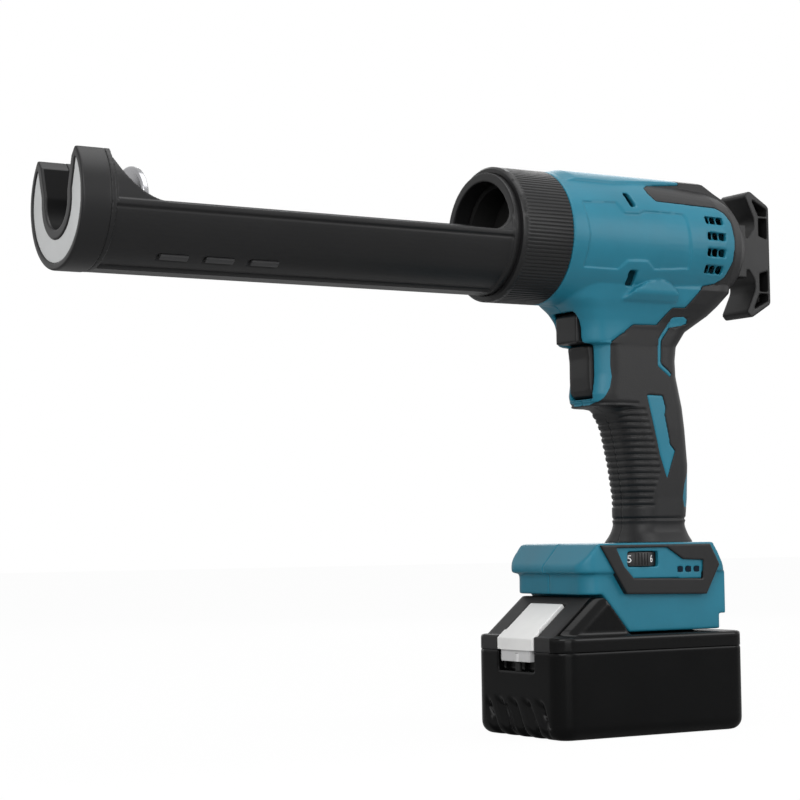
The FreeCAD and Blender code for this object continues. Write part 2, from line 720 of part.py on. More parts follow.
collar_start = ring_end - d.gap - d.collar_lip
collar_end = collar_start + d.collar_length
collar_bore = d.clamp_flange + d.gap
lip_bore = d.ring_boss + d.gap
collar = turned("collar", [
    (collar_start, lip_bore), (collar_start, d.collar_radius - d.collar_bevel),
    (collar_start + d.collar_bevel, d.collar_radius), (collar_end, d.collar_radius),
    (collar_end, collar_bore), (collar_start + d.collar_lip, collar_bore),
    (collar_start + d.collar_lip, lip_bore)])
groove_sketch = start_sketch(collar, "YZ", collar_start + d.collar_band)
polygon(groove_sketch, [
    (-d.knurl_width / 2, d.collar_radius + 0.2), (d.knurl_width / 2, d.collar_radius + 0.2),
    (0, d.collar_radius - d.knurl_depth)])
groove = add_pad(collar, groove_sketch, d.collar_length, kind="Pocket")
groove.Reversed = True
doc.recompute()
repeat_round(collar, groove, "X", d.knurl_count)
node(collar, "locking_collar")

# Nose mount: the threaded cup that the collar screws on, with the front guide of the rod in its wall

mount_start = clamp_end + d.gap
body_start = collar_end + d.body_clear
mount_wall_start = mount_start + d.mount_cup_depth
mount_end = body_start + d.mount_spigot_length
mount_step = body_start - d.body_clear / 2
node(turned("nose_mount_turn", [
    (mount_start, d.mount_cup), (mount_start, d.clamp_flange), (mount_step, d.clamp_flange),
    (mount_step, d.mount_spigot), (mount_end, d.mount_spigot), (mount_end, d.guide_radius),
    (mount_wall_start, d.guide_radius), (mount_wall_start, d.mount_cup)]), "nose_mount")


def rod_guide(name, x0, x1):
    """A round bush with a rectangular hole for the rod."""
    bush = bar(name + "_bush", ALONG_X, d.guide_radius, size(x1) - x0, x0, 0, 0)
    hole = block(name + "_hole", (size(x0) - 1, size(x1) + 1), both_ways(d.rod_width / 2 + d.running_fit),
                 both_ways(d.rod_height / 2 + d.running_fit))
    return cut(name, bush, [hole])


node(rod_guide("front_guide", mount_wall_start, mount_end), "front_rod_guide")
node(rod_guide("rear_guide", d.body_end - d.guide_rear_length, d.body_end), "rear_rod_guide")

# Rack rod, with its pusher plate at the front and the pull handle on its rear end

PRESSURE_ANGLE = math.radians(20)
pitch = d.tooth_module * math.pi
pitch_radius = d.tooth_module * d.pinion_teeth / 2
pitch_line = d.rack_addendum - d.rod_height / 2
pinion_z = pitch_line - pitch_radius
rod_front = d.pusher_front + d.pusher_thick
rod_rear = d.handle_back - d.handle_bar + 1
rod = prism("rod", "XZ", [
    (rod_front, -d.rod_height / 2), (rod_rear, -d.rod_height / 2),
    (rod_rear, d.rod_height / 2), (rod_front, d.rod_height / 2)], 0, d.rod_width, symmetric=True)
first_gap = d.pinion_x - pitch * (d.rack_teeth - 3)
gap_floor = d.tooth_module + d.root_clearance
gap_mouth = d.rack_addendum + 0.5
slope_per_depth = math.tan(PRESSURE_ANGLE)
floor_half = pitch / 4 - gap_floor * slope_per_depth
mouth_half = pitch / 4 + gap_mouth * slope_per_depth
gap_sketch = start_sketch(rod, "XZ", 0)
polygon(gap_sketch, [
    (first_gap - mouth_half, pitch_line - gap_mouth), (first_gap + mouth_half, pitch_line - gap_mouth),
    (first_gap + floor_half, pitch_line + gap_floor), (first_gap - floor_half, pitch_line + gap_floor)])
tooth_gap = add_pad(rod, gap_sketch, d.rod_width * 2, symmetric=True, kind="Pocket")
doc.recompute()
rack = rod.newObject("PartDesign::LinearPattern", "rack")
rack.Originals = [tooth_gap]
rack.Direction = (origin_part(rod, "X_Axis"), [""])
bind(rack, "Length", pitch * (d.rack_teeth - 1))
bind(rack, "Occurrences", d.rack_teeth)
rod.Tip = rack
doc.recompute()


def pusher_screw(name):
    return bar(name, ALONG_X, d.pusher_screw_radius, d.pusher_screw_length, d.pusher_front + d.gap, 0, 0)


pin_x = d.handle_back - d.handle_hub + d.handle_pin_radius + 1


def handle_pin(name):
    return bar(name, ALONG_Y, d.handle_pin_radius, d.handle_pin_half * 2, pin_x, -d.handle_pin_half, 0)


node(cut("rod_solid", rod, [pusher_screw("rod_screw_hole"), handle_pin("rod_pin_hole")]), "rack_rod")
pusher = turned("pusher", [
    (d.pusher_front, 0), (rod_front, 0), (rod_front, d.pusher_radius), (d.pusher_front, d.pusher_radius)])
round_edges(pusher, d.pusher_rim, circle_at(d.pusher_front, d.pusher_radius))
node(cut("pusher_solid", pusher, [
    bar("pusher_hole", ALONG_X, d.pusher_screw_radius, d.pusher_thick * 3, d.pusher_front - d.pusher_thick,
        0, 0)]),
    "pusher_plate")
node(pusher_screw("pusher_screw_bar"), "pusher_screw")
node(handle_pin("handle_pin_bar"), "handle_pin")


def handle_point(depth, height):
    """A point of the handle's side view, from its rear face and its own middle."""
    return d.handle_back - depth, size(height) - d.handle_sink


upper = [
    (0, d.handle_reach - d.handle_shoulder), (d.handle_hook - d.handle_tip, d.handle_reach),
    (d.handle_hook, d.handle_reach - d.handle_tip), (d.handle_bar, d.handle_hollow),
    (d.handle_hub, d.handle_hub_half)]
outline = [handle_point(depth, height) for depth, height in upper]
outline += [handle_point(depth, -height) for depth, height in reversed(upper)]
handle = prism("handle", "XZ", outline, 0, d.handle_half * 2, symmetric=True)
round_edges(handle, d.handle_hollow_round, edge_at(
    1, handle_point(d.handle_bar, d.handle_hollow), handle_point(d.handle_bar, -d.handle_hollow)))
round_edges(handle, d.handle_tip, edge_at(
    1, handle_point(0, upper[0][1]), handle_point(0, -upper[0][1])))
round_edges(handle, d.handle_tip_round, edge_at(1, *[
    handle_point(depth, height * sign) for depth, height in upper[1:3] for sign in (-1, 1)]))
plate_front = d.body_end + d.gap
plate_back = plate_front + d.handle_plate_thick
hub_front = d.handle_back - d.handle_hub
handle_plate = block("handle_plate", (plate_front, plate_back), both_ways(d.handle_half),
                     both_ways(d.handle_plate_half))
handle_neck = block("handle_neck", (plate_front, hub_front + 1), both_ways(d.handle_half),
                    (-d.handle_hub_half - d.handle_sink, d.handle_hub_half - d.handle_sink))


def handle_pockets(name, side, sign):
    """The two cored pockets of one arm on one side, parted by a thin rib."""
    front_wall = d.handle_bar - d.handle_skin
    rib_far = d.handle_rib_height + d.handle_rib
    near_pocket = [(d.handle_skin, d.handle_hub_half), (d.handle_skin, d.handle_rib_height),
                   (front_wall, d.handle_rib_height), (front_wall, d.handle_hub_half + d.handle_skin)]
    far_pocket = [(d.handle_skin, rib_far),
                  (d.handle_skin, d.handle_reach - d.handle_shoulder - d.handle_skin),
                  (d.handle_hook - d.handle_tip - d.handle_skin,
                   d.handle_reach - d.handle_tip - d.handle_skin),
                  (front_wall, rib_far)]
    inner_face = d.handle_half - d.handle_pocket
    start = inner_face if side < 0 else -d.handle_half - 1
    return [prism("%s_%d" % (name, i), "XZ", [handle_point(depth, height * sign) for depth, height in points],
                  start, d.handle_pocket + 1) for i, points in enumerate((near_pocket, far_pocket))]


pockets = [pocket for side in (-1, 1) for sign in (-1, 1)
           for pocket in handle_pockets("handle_pocket_%d_%d" % (side + 1, sign + 1), side, sign)]
rod_socket = block("rod_socket", (plate_front - 1, rod_rear), both_ways(d.rod_width / 2),
                   both_ways(d.rod_height / 2))
node(cut("handle_solid", fuse("handle_blank", [handle, handle_plate, handle_neck]),
         pockets + [rod_socket, handle_pin("handle_pin_hole")]), "pull_handle")

# Housing form: a turned upper body with a spine, a neck behind the trigger, a grip with a flared foot
# The same form is drawn at the outside, under the soft overmould and as the hollow inside


def upper_form(name, inset, front):
    """Turned body with the raised band along its top, drawn in by an inset."""
    inset = size(inset)
    body = turned(name + "_body", [
        (front, 0), (d.body_end - inset, 0), (d.body_end - inset, d.body_end_radius - inset * 0.4),
        (d.brow_x - inset * 0.6, d.brow_radius - inset * 0.8),
        (d.dome_x - inset * 0.3, d.dome_radius - inset),
        (d.haunch_x, d.haunch_radius - inset), (d.shoulder_x, d.shoulder_radius - inset),
        (d.body_taper_start, d.body_radius - inset), (front, d.body_radius - inset)])
    proud = d.spine_proud - inset
    band = turned(name + "_band", [
        (d.spine_start + inset, 0), (d.body_end - inset, 0), (d.body_end - inset,
                                                              d.body_end_radius + proud * 0.4),
        (d.brow_x - inset * 0.6, d.brow_radius + d.spine_proud - inset * 0.8),
        (d.dome_x - inset * 0.3, d.dome_radius + proud), (d.haunch_x, d.haunch_radius + proud),
        (d.shoulder_x, d.body_radius + proud), (d.spine_start + d.spine_rise, d.body_radius + proud),
        (d.spine_start + inset, d.body_radius - inset)])
    side = [(d.spine_start - 5, d.spine_half - inset), (d.spine_taper_start, d.spine_half - inset),
            (d.spine_taper_end, d.spine_rear_half - inset), (d.body_end + 5, d.spine_rear_half - inset)]
    plan = prism(name + "_band_plan", "XY", side + [(x, -y) for x, y in reversed(side)], 0, FAR)
    return [body, common(name + "_spine", band, plan)]


def grip_form(name, inset):
    """Neck, grip and flared foot, drawn in by an inset."""
    i = size(inset)
    floor = d.neck_bottom - i
    brow = d.neck_brow_front + i
    front = d.neck_front + i
    waist = d.neck_waist_rear - i
    neck = loft(name + "_neck", [
        (15, 262 + i, 372 - i, 22 - i, 16 - i),
        (24, 262 + i, 369 - i, 23.5 - i, 16 - i),
        (31, 264 + i, 362 - i, 21.6 - i, 15 - i),
        (36, 270 + i, 356 - i, 19.4 - i, 13 - i),
        (41, brow - 1, 348 - i, 18 - i, 12 - i),
        (45, brow, 341.5 - i, d.grip_half + 0.5 - i, d.grip_round - i),
        (d.neck_step - 0.3 - i, brow + 0.4, waist + 1, d.grip_half + 0.1 - i, d.grip_round - i),
        (d.neck_step + 0.3 - i, front, waist + 0.9, d.grip_half - i, d.grip_round - i),
        (60, front + 0.2, waist, d.grip_half - i, d.grip_round - i),
        (68, front + 0.3, waist + 0.3, d.grip_half - i, d.grip_round - i),
        (78, front - 1.2, waist + 2.6, d.grip_half - i, d.grip_round - i),
        (floor, front, waist + 4, d.grip_half - i, d.grip_round - i)])
    grip = loft(name + "_grip", [
        (floor, d.grip_top_front + i, waist + 4, d.grip_half - i, d.grip_round - i),
        (95, d.grip_top_front + 5 + i, d.grip_rear - 1.6 - i, d.grip_half - i, d.grip_round - i),
        (113, d.grip_low_front - 2.2 + i, d.grip_rear + 0.2 - i, d.grip_half - 0.5 - i, d.grip_round - i),
        (130, d.grip_low_front + i, d.grip_rear - i, d.grip_waist_half + 0.1 - i, d.grip_round - i),
        (d.grip_waist_drop, d.grip_low_front + i, d.grip_rear - 1.4 - i, d.grip_waist_half - i,
         d.grip_round - i)])
    foot = loft(name + "_foot", [
        (d.grip_waist_drop, d.grip_low_front + i, d.grip_rear - 1.4 - i, d.grip_waist_half - i,
         d.grip_round - i),
        (147.5, d.grip_low_front - 1.9 + i, d.grip_rear + 0.5 - i, d.grip_waist_half + 0.9 - i,
         d.grip_round - i),
        (d.base_drop, d.grip_foot_front + i, d.grip_foot_rear - i, d.grip_foot_half - i,
         d.grip_round + 2 - i)])
    return [neck, grip, foot]


def rounded_plan(name, x0, x1, half, z0, z1, front_round, rear_round):
    """An upright block with rounded upright edges."""
    low, high = both_ways(half)
    body = prism(name, "XY", [(x0, low), (x1, low), (x1, high), (x0, high)], z0, size(z1) - z0)
    round_edges(body, front_round, edge_at(2, (x0, low), (x0, high)))
    round_edges(body, rear_round, edge_at(2, (x1, low), (x1, high)))
    return body


band_drop = d.base_drop + d.base_band
lower_drop = band_drop + d.base_lower
lower_half = d.base_half - d.base_side_step
base_upper = cut("base_upper", rounded_plan(
    "base_upper_block", d.base_front, d.base_rear, d.base_half, -band_drop, -d.base_drop,
    d.base_round, d.base_round_rear), [
    side_prism("base_chamfer", [
        (d.base_front - 1, -d.base_drop - d.base_chamfer_drop),
        (d.base_front, -d.base_drop - d.base_chamfer_drop),
        (d.base_front + d.base_chamfer_run, -d.base_drop), (d.base_front + d.base_chamfer_run,
                                                            -d.base_drop + 1),
        (d.base_front - 1, -d.base_drop + 1)]),
    side_prism("base_slope", [
        (d.base_rear, -band_drop), (d.base_rear + 1, -band_drop), (d.base_rear + 1, -d.base_drop + 1),
        (d.base_rear - d.base_slope_run, -d.base_drop + 1), (d.base_rear - d.base_slope_run, -d.base_drop)])])
base_lower = rounded_plan("base_lower_block", d.base_front + d.base_step, d.base_rear, lower_half,
                          -lower_drop, -band_drop, d.base_round, d.base_round_rear)
skirts = side_prism("skirts", [
    (d.skirt_front, -lower_drop), (d.skirt_toe, -d.skirt_drop), (d.base_rear - d.skirt_heel, -d.skirt_drop),
    (d.base_rear - d.skirt_heel, -d.skirt_heel_drop), (d.base_rear, -d.skirt_heel_drop),
    (d.base_rear, -band_drop), (d.skirt_front, -band_drop)], lower_half)
PANEL_EDGE = ((266.6, -153.4), (282.5, -177.4), (332.5, -178.4), (341.2, -163.7), (335.3, -153.4))
PANEL_HOLE = ((276.4, -154.9), (308, -154.9), (317.9, -160.9), (330.7, -161.5), (330.4, -170.6),
              (286.8, -169.7),
              (281.1, -163.8))
window_plate = side_prism("window_plate", PANEL_HOLE, d.base_half)
FLANK_BOSS = ((291.5, -32), (298.4, -25.8), (304.8, -22.4), (313.7, -20.4), (321.4, -22.6), (326.2, -26.9),
              (327, -32))
BOSS_SECTION = ((0, -20), (1, -20), (0.98, -27.5), (0.84, -31.5), (0, -31.5))
boss_side = [(d.boss_half * share, z) for share, z in BOSS_SECTION]
boss_bar = prism("boss_bar", "YZ", boss_side + [(-y, z) for y, z in reversed(boss_side[1:-1])],
                 d.spine_start, d.body_end - d.spine_start)
flank_boss = common("flank_boss", side_prism("flank_outline", FLANK_BOSS), boss_bar)
outer_form = fuse("outer_form", upper_form("outer", 0, body_start) + grip_form("outer", 0)
                  + [flank_boss, base_upper, base_lower, skirts, window_plate])
under_form = fuse("under_form", upper_form("under", d.skin, body_start + d.skin) + grip_form("under", d.skin))
hollow_front = d.base_front + d.base_chamfer_run + d.base_wall
base_hollow = block("base_hollow", (hollow_front, d.base_rear - d.base_slope_run - d.base_wall),
                    both_ways(lower_half - d.base_wall), (-lower_drop + d.base_wall,
                                                          -d.base_drop - d.base_wall))
wire_way = block("wire_way", (d.grip_foot_front + 9, d.grip_foot_rear - 14), both_ways(d.grip_waist_half - 4),
                 (-d.base_drop - d.base_wall - 1, -d.base_drop + 2))
hollow_form = fuse("hollow_form", upper_form("hollow", d.wall, mount_end + d.mount_keeper)[:1]
                   + grip_form("hollow", d.wall) + [base_hollow, wire_way])

# Ribs and screw bosses inside the housing, which carry the drive and hold the halves together

SCREW_SPOTS = ((272, 23), (330, 24), (345, -36), (322, -90.5), (318, -137), (267, -171), (340, -171))
gear_room = block("gear_room", (d.case_start, d.case_end), (-d.case_half, d.case_half + d.cover_thick),
                  (-d.case_bottom, -d.case_top))
motor_room = bar("motor_room", ALONG_X, d.motor_radius, d.motor_length + d.motor_cap_length, d.case_end, 0,
                 -d.motor_drop)
rod_room = block("rod_room", (d.case_start, d.body_end - d.guide_rear_length),
                 both_ways(d.rod_width / 2 + 0.6),
                 (-d.case_top, d.rod_height / 2 + 0.6))


def cross_rib(name, x, low, high):
    """A wall across the housing at one station."""
    return block(name, (x, size(x) + d.rib_thick), both_ways(FAR), (low, high))


rib_low = -d.button_top + 1
cross_ribs = cut("cross_ribs", fuse("cross_rib_walls", [
    cross_rib("rib_a", d.switch_front, rib_low, FAR), cross_rib("rib_b", d.case_end - d.rib_thick - 2,
                                                                rib_low, FAR),
    cross_rib("rib_c", d.case_end + d.motor_length / 2, rib_low, FAR),
    cross_rib("rib_d", d.button_seat, -d.button_bottom - 1, rib_low + 1)]), [gear_room, motor_room, rod_room])
guide_boss = bar("guide_boss", ALONG_X, d.guide_radius + 4, d.guide_rear_length,
                 d.body_end - d.guide_rear_length, 0, 0)
screw_bosses = fuse("screw_bosses", [
    bar("screw_boss_%d" % i, ALONG_Y, d.screw_boss, 2 * FAR, x, -FAR, z) for i,
    (x, z) in enumerate(SCREW_SPOTS)])
hollow = cut("hollow", hollow_form, [cross_ribs, guide_boss, screw_bosses])

# Openings in the housing: nose seat, rod guide, trigger and button slots, vents, side panel, battery channel

nose_seat = bar("nose_seat", ALONG_X, d.mount_spigot, mount_end - body_start + 1, body_start - 1, 0, 0)
nose_hole = bar("nose_hole", ALONG_X, d.keeper_hole, d.mount_keeper + 1, mount_end - 0.5, 0, 0)
guide_hole = bar("guide_hole", ALONG_X, d.guide_radius, d.guide_rear_length + 1,
                 d.body_end - d.guide_rear_length, 0, 0)
slot_end = d.trigger_inner - d.flange_depth - 0.5
trigger_slot = block("trigger_slot", (d.trigger_front - 5, slot_end), both_ways(d.trigger_half + d.gap),
                     (-d.trigger_bottom - d.gap, -d.trigger_top + d.gap))
button_slot = block("button_slot", (d.button_front - 5, d.button_seat - 1),
                    both_ways(d.button_half + d.gap),
                    (-d.trigger_top, -d.button_top + d.gap))
vent_blocks = []
for i in range(4):
    for side in (-1, 1):
        top = d.vent_top - d.vent_pitch * i
        near = -size(FAR) if side < 0 else d.shoulder_radius - 10
        vent_blocks.append(block("vent_%d_%d" % (i, side + 1), (d.vent_start, d.vent_start + d.vent_length),
                                 (near, near + FAR - d.shoulder_radius + 10), (top - d.vent_height, top)))
vents = cut("vents", fuse("vent_slots", vent_blocks), [
    bar("vent_bar_%d" % i, ALONG_X, d.shoulder_radius - d.vent_bar_sink, d.vent_bar,
        d.vent_start + d.vent_length * i / 3 - d.vent_bar / 2, 0, 0) for i in (1, 2)])


def side_recess(name, depth, outlines):
    """Shallow recesses in both sides of the turned body, with the given outlines in side view."""
    shell = cut(name + "_shell", turned(name + "_over", [
        (body_start, 0), (d.shoulder_x, 0), (d.shoulder_x, d.body_radius + 3),
        (body_start, d.body_radius + 3)]), [
        turned(name + "_floor", [
            (body_start - 1, 0), (d.shoulder_x + 1, 0), (d.shoulder_x + 1, d.shoulder_radius - depth),
            (d.shoulder_x, d.shoulder_radius - depth), (d.body_taper_start, d.body_radius - depth),
            (body_start - 1, d.body_radius - depth)])])
    shapes = [side_prism("%s_%d" % (name, i), points) for i, points in enumerate(outlines)]
    return common(name, shell, shapes[0] if len(shapes) == 1 else fuse(name + "_outlines", shapes))


PANEL = ((262.8, 15.4), (284.5, 16.6), (288, 11.2), (297, 11.3), (300, 13), (326.2, 13.6), (328, 11),
         (330.4, -14.6),
         (307.6, -16.3), (302, -12.5), (290, -13), (285.5, -17.4), (263.6, -17.3), (265, -1))
UPPER_SLOT = ((291.2, 22), (295, 21.7), (296.6, 14.6), (292.8, 14.4))
LOWER_SLOT = ((292.6, -17), (298, -16.8), (298.4, -24), (293.2, -24))
panel_recess = side_recess("panel_recess", d.panel_recess, [PANEL])
slot_recess = side_recess("slot_recess", d.window_depth, [UPPER_SLOT, LOWER_SLOT])
channel_front = d.head_start - 4
head_room = block("head_room", (channel_front, d.channel_end), both_ways(d.head_half + d.gap),
                  (-d.rail_drop, -d.channel_drop))
waist_room = block("waist_room", (channel_front, d.channel_end), both_ways(d.waist_half + d.gap),
                   (-d.skirt_drop - 1, -d.rail_drop))

# Soft overmould: the black skin over the rear, the spine's end and the grip, with teal showing through it

SOFT_EDGE = ((308.6, 26.2), (312.6, 28.2), (331.4, 30.4), (337, 31), (337, 40), (385, 40), (385, -60),
             (360, -152.5), (270, -152.5), (270, -88), (279.4, -83.9), (285.2, -78), (287, -66.5),
             (286.6, -53.9),
             (302.7, -42.8), (317.4, -42.5), (325.8, -33.6), (334, -33.2), (341, -25.4), (343.4, -21.8),
             (351, -20.4), (356.4, -17), (359.8, -8.5), (360.2, 1.7), (359.6, 11.3), (356.6, 16.2),
             (351, 18.6),
             (310.8, 18.8), (308.4, 22.8))
BLADE = ((310.9, -78.1), (320.8, -78.3), (322.8, -84.8), (322, -88), (325.3, -102.9), (328.5, -106.4),
         (323.3, -120.4), (318.5, -107.6))
STRIPE = ((336.9, -39.6), (327.2, -38.2), (318.7, -49.7), (318.3, -63.2), (326.3, -68.8), (327.4, -67.2),
          (320.3, -62.2), (320.7, -50.4), (328.2, -40.2), (336.9, -41.8))
soft_region = cut("soft_region", side_prism("soft_edge", SOFT_EDGE), [
    side_prism("blade", BLADE), side_prism("stripe", STRIPE),
    bar("guide_ring", ALONG_X, d.guide_radius + 1, 20, d.body_end - 10, 0, 0)])
RIB_EDGE = ((303, 80.4), (309.5, 84), (314.6, 99.6), (319.3, 115.5), (314.2, 128.6), (316.6, 136))
grip_inside = fuse("grip_inside", grip_form("ribbed", d.rib_depth)[:2])


def rib_end(drop):
    """Where a rib ends at the rear: on the edge of the ribbed patch at that height."""
    for (x0, drop0), (x1, drop1) in zip(RIB_EDGE, RIB_EDGE[1:]):
        if drop0 <= drop <= drop1:
            return x0 + (x1 - x0) * (drop - drop0) / (drop1 - drop0)


def groove_band(name, drop, rear):
    """A level slice of the grip, one groove high."""
    return block(name, (d.base_front, rear), both_ways(FAR), (-drop - d.rib_groove, -drop))


groove_bands = [groove_band("ring_band", d.ring_groove_drop, d.body_end)]
for i in range(int(d.rib_count.value)):
    drop = d.rib_top + d.rib_pitch * i
    groove_bands.append(groove_band("rib_band_%d" % i, drop, rib_end(drop.value)))
grip_grooves = cut("grip_grooves", fuse("groove_bands", groove_bands), [grip_inside])
soft_sink = cut("soft_sink", soft_region, [under_form])
soft_shell = common("soft_shell", outer_form, soft_sink)
soft_skin = cut("soft_skin", soft_shell, [grip_grooves])

# Housing halves, split on the tool's middle plane and screwed together from the right

housing = cut("housing", outer_form, [
    hollow, soft_sink, nose_seat, nose_hole, guide_hole, trigger_slot, button_slot, panel_recess, slot_recess,
    head_room, waist_room, vents])
left_space = block("left_space", (0, 500), (-2 * FAR, 0), (-400, 100))
right_space = block("right_space", (0, 500), (0, 2 * FAR), (-400, 100))


def screw_set(name, head_end):
    """All the housing screws, with heads that end at a given distance from the middle."""
    pieces = []
    for i, (x, z) in enumerate(SCREW_SPOTS):
        shank = bar("%s_shank_%d" % (name, i), ALONG_Y, d.screw_radius, d.screw_half * 2, x, -d.screw_half, z)
        head = bar("%s_head_%d" % (name, i), ALONG_Y, d.screw_head, size(head_end) - d.screw_half, x,
                   d.screw_half, z)
        pieces += [shank, head]
    return fuse(name, pieces)


screw_wells = screw_set("screw_wells", FAR)
dial_y = d.dial_radius - d.base_half - d.dial_proud
dial_room = bar("dial_room", ALONG_Z, d.dial_radius + d.gap, d.dial_thick + d.gap * 2, d.dial_x, dial_y,
                -d.dial_drop - d.dial_thick - d.gap)


def lamp_blocks(name, y0, y1):
    """Three small windows in a row in the base's left side."""
    return [block("%s_%d" % (name, i), (d.lamp_x + d.lamp_pitch * i,
                                        d.lamp_x + d.lamp_pitch * i + d.lamp_width),
                  (y0, y1), (-d.lamp_drop - d.lamp_height / 2,
                             -d.lamp_drop + d.lamp_height / 2)) for i in range(3)]


dial_window = block("dial_window", (d.dial_x - d.dial_window, d.dial_x + d.dial_window),
                    (-FAR, d.base_wall * 2 - d.base_half), (-d.dial_drop - d.dial_thick - d.gap,
                                                            d.gap - d.dial_drop))
left_tools = [screw_wells, dial_room, dial_window] + lamp_blocks("lamp_hole", -FAR,
                                                                 d.base_wall * 2 - d.base_half)
node(cut("left_housing_solid", common("left_half", housing, left_space), left_tools), "left_housing")
node(cut("right_housing_solid", common("right_half", housing, right_space), [screw_wells]), "right_housing")
node(common("left_skin", soft_skin, left_space), "left_overmould")
node(cut("right_skin", common("right_skin_half", soft_skin, right_space), [screw_wells]), "right_overmould")
node(screw_set("screws", d.screw_half + d.screw_head_height), "housing_screws")

# Black side panels of the base, seated on its sides round the teal window plate

panel_blank = cut("panel_blank", side_prism("panel_edge", PANEL_EDGE, d.base_half + d.panel_proud), [
    outer_form, side_prism("panel_opening", PANEL_HOLE),
    block("panel_middle", (0, 500), both_ways(lower_half), (-400, 100))])
node(common("left_panel", panel_blank, left_space), "left_base_panel")
node(common("right_panel", panel_blank, right_space), "right_base_panel")

# Drive: a pinion under the rack, its shaft in two bearings, a sealed gear case and the motor behind it

pinion = round_blank("pinion", "XZ", pitch_radius - d.rack_addendum - d.root_clearance, d.pinion_width,
                     symmetric=True)
base_radius = pitch_radius * math.cos(PRESSURE_ANGLE)
tip_radius = pitch_radius + d.tooth_module


def involute(angle):
    return math.tan(angle) - angle


def flank_angle(radius):
    """Half the angle that a tooth of the pinion takes up at one radius."""
    half_tooth = (pitch.value / 2 - d.backlash.value) / 2 / pitch_radius.value
    slant = math.acos(min(1, base_radius.value / radius.value))
    return half_tooth + involute(PRESSURE_ANGLE) - involute(slant)


flank = [(radius, flank_angle(radius)) for radius in (
    base_radius - d.tooth_module, base_radius, pitch_radius, (pitch_radius + tip_radius) / 2, tip_radius)]
tooth = [(radius * math.sin(angle), radius * math.cos(angle)) for radius, angle in flank]
tooth += [(-across, along) for across, along in reversed(tooth)]
tooth_sketch = start_sketch(pinion, "XZ", 0)
polygon(tooth_sketch, tooth)
tooth_pad = add_pad(pinion, tooth_sketch, d.pinion_width, symmetric=True)
doc.recompute()
repeat_round(pinion, tooth_pad, "Y", d.pinion_teeth)
place(pinion, d.pinion_x, 0, pinion_z)


def cross_bar(name, radius, y0, y1):
    """A cylinder along the pinion's axis between two distances from the tool's middle."""
    return bar(name, ALONG_Y, radius, size(y1) - y0, d.pinion_x, y0, pinion_z)


node(cut("pinion_solid", pinion, [cross_bar("pinion_bore", d.shaft_radius, -FAR, FAR)]), "drive_pinion")
node(cross_bar("shaft_bar", d.shaft_radius, -d.shaft_half, d.shaft_half), "pinion_shaft")
bearing_end = d.bearing_seat + d.bearing_width
node(cut("bearing_pair", fuse("bearing_rings", [
    cross_bar("left_ring", d.bearing_radius, -bearing_end, -d.bearing_seat),
    cross_bar("right_ring", d.bearing_radius, d.bearing_seat, bearing_end)]),
    [cross_bar("bearing_bore", d.shaft_radius + d.running_fit, -FAR, FAR)]), "shaft_bearings")
case_block = block("case_block", (d.case_start, d.case_end), both_ways(d.case_half),
                   (-d.case_bottom, -d.case_top))
pinion_slot = d.pinion_width / 2 + d.pinion_room
node(cut("gear_case_solid", case_block, [
    cross_bar("pinion_room", tip_radius + d.pinion_room, -pinion_slot, pinion_slot),
    cross_bar("bearing_room", d.bearing_radius, -bearing_end, d.case_half + 1)]), "gear_case")
node(block("cover_block", (d.case_start + d.cover_inset, d.case_end - d.cover_inset),
           (d.case_half, d.case_half + d.cover_thick),
           (d.cover_inset - d.case_bottom, -d.case_top)), "gear_cover")
motor_end = d.case_end + d.motor_length
node(bar("motor_bar", ALONG_X, d.motor_radius, d.motor_length, d.case_end, 0, -d.motor_drop), "motor_can")
node(bar("motor_cap_bar", ALONG_X, d.motor_cap_radius, d.motor_cap_length, motor_end, 0, -d.motor_drop),
     "motor_end_cap")

# Trigger and the button above it, each in a slot of the housing with a return spring behind it

TRIGGER_FACE = ((0, 0), (0.9, 0.25), (0.8, 0.6), (1.2, 0.86), (2.4, 0.95), (5.0, 1))
trigger_height = d.trigger_bottom - d.trigger_top
trigger_outline = [(d.trigger_front + back, -d.trigger_top - trigger_height * share) for back,
                   share in TRIGGER_FACE]
trigger_outline += [(d.trigger_inner, -d.trigger_bottom), (d.trigger_inner, -d.trigger_top)]


def keeper(name, inner, half, top, bottom):
    """The flange on a sliding piece's inner end that keeps it in its slot."""
    return block(name, (inner - d.flange_depth, inner), both_ways(half + d.trigger_flange),
                 (d.keeper_margin - bottom, -top - d.keeper_margin))


def spring_bar(name, radius, x0, x1, drop):
    return bar(name, ALONG_X, radius, size(x1) - x0, x0, 0, -size(drop))


def coil_sleeve(name, x0, x1, drop):
    """A return spring, drawn as the sleeve that its coils fill."""
    return cut(name, spring_bar(name + "_outside", d.spring_radius, x0, x1, drop), [
        spring_bar(name + "_inside", d.spring_radius - d.spring_wall, size(x0) - 1, size(x1) + 1, drop)])


def spring_room(name, inner, drop):
    return spring_bar(name, d.spring_radius + d.gap, inner - d.spring_pocket, inner + 1, drop)


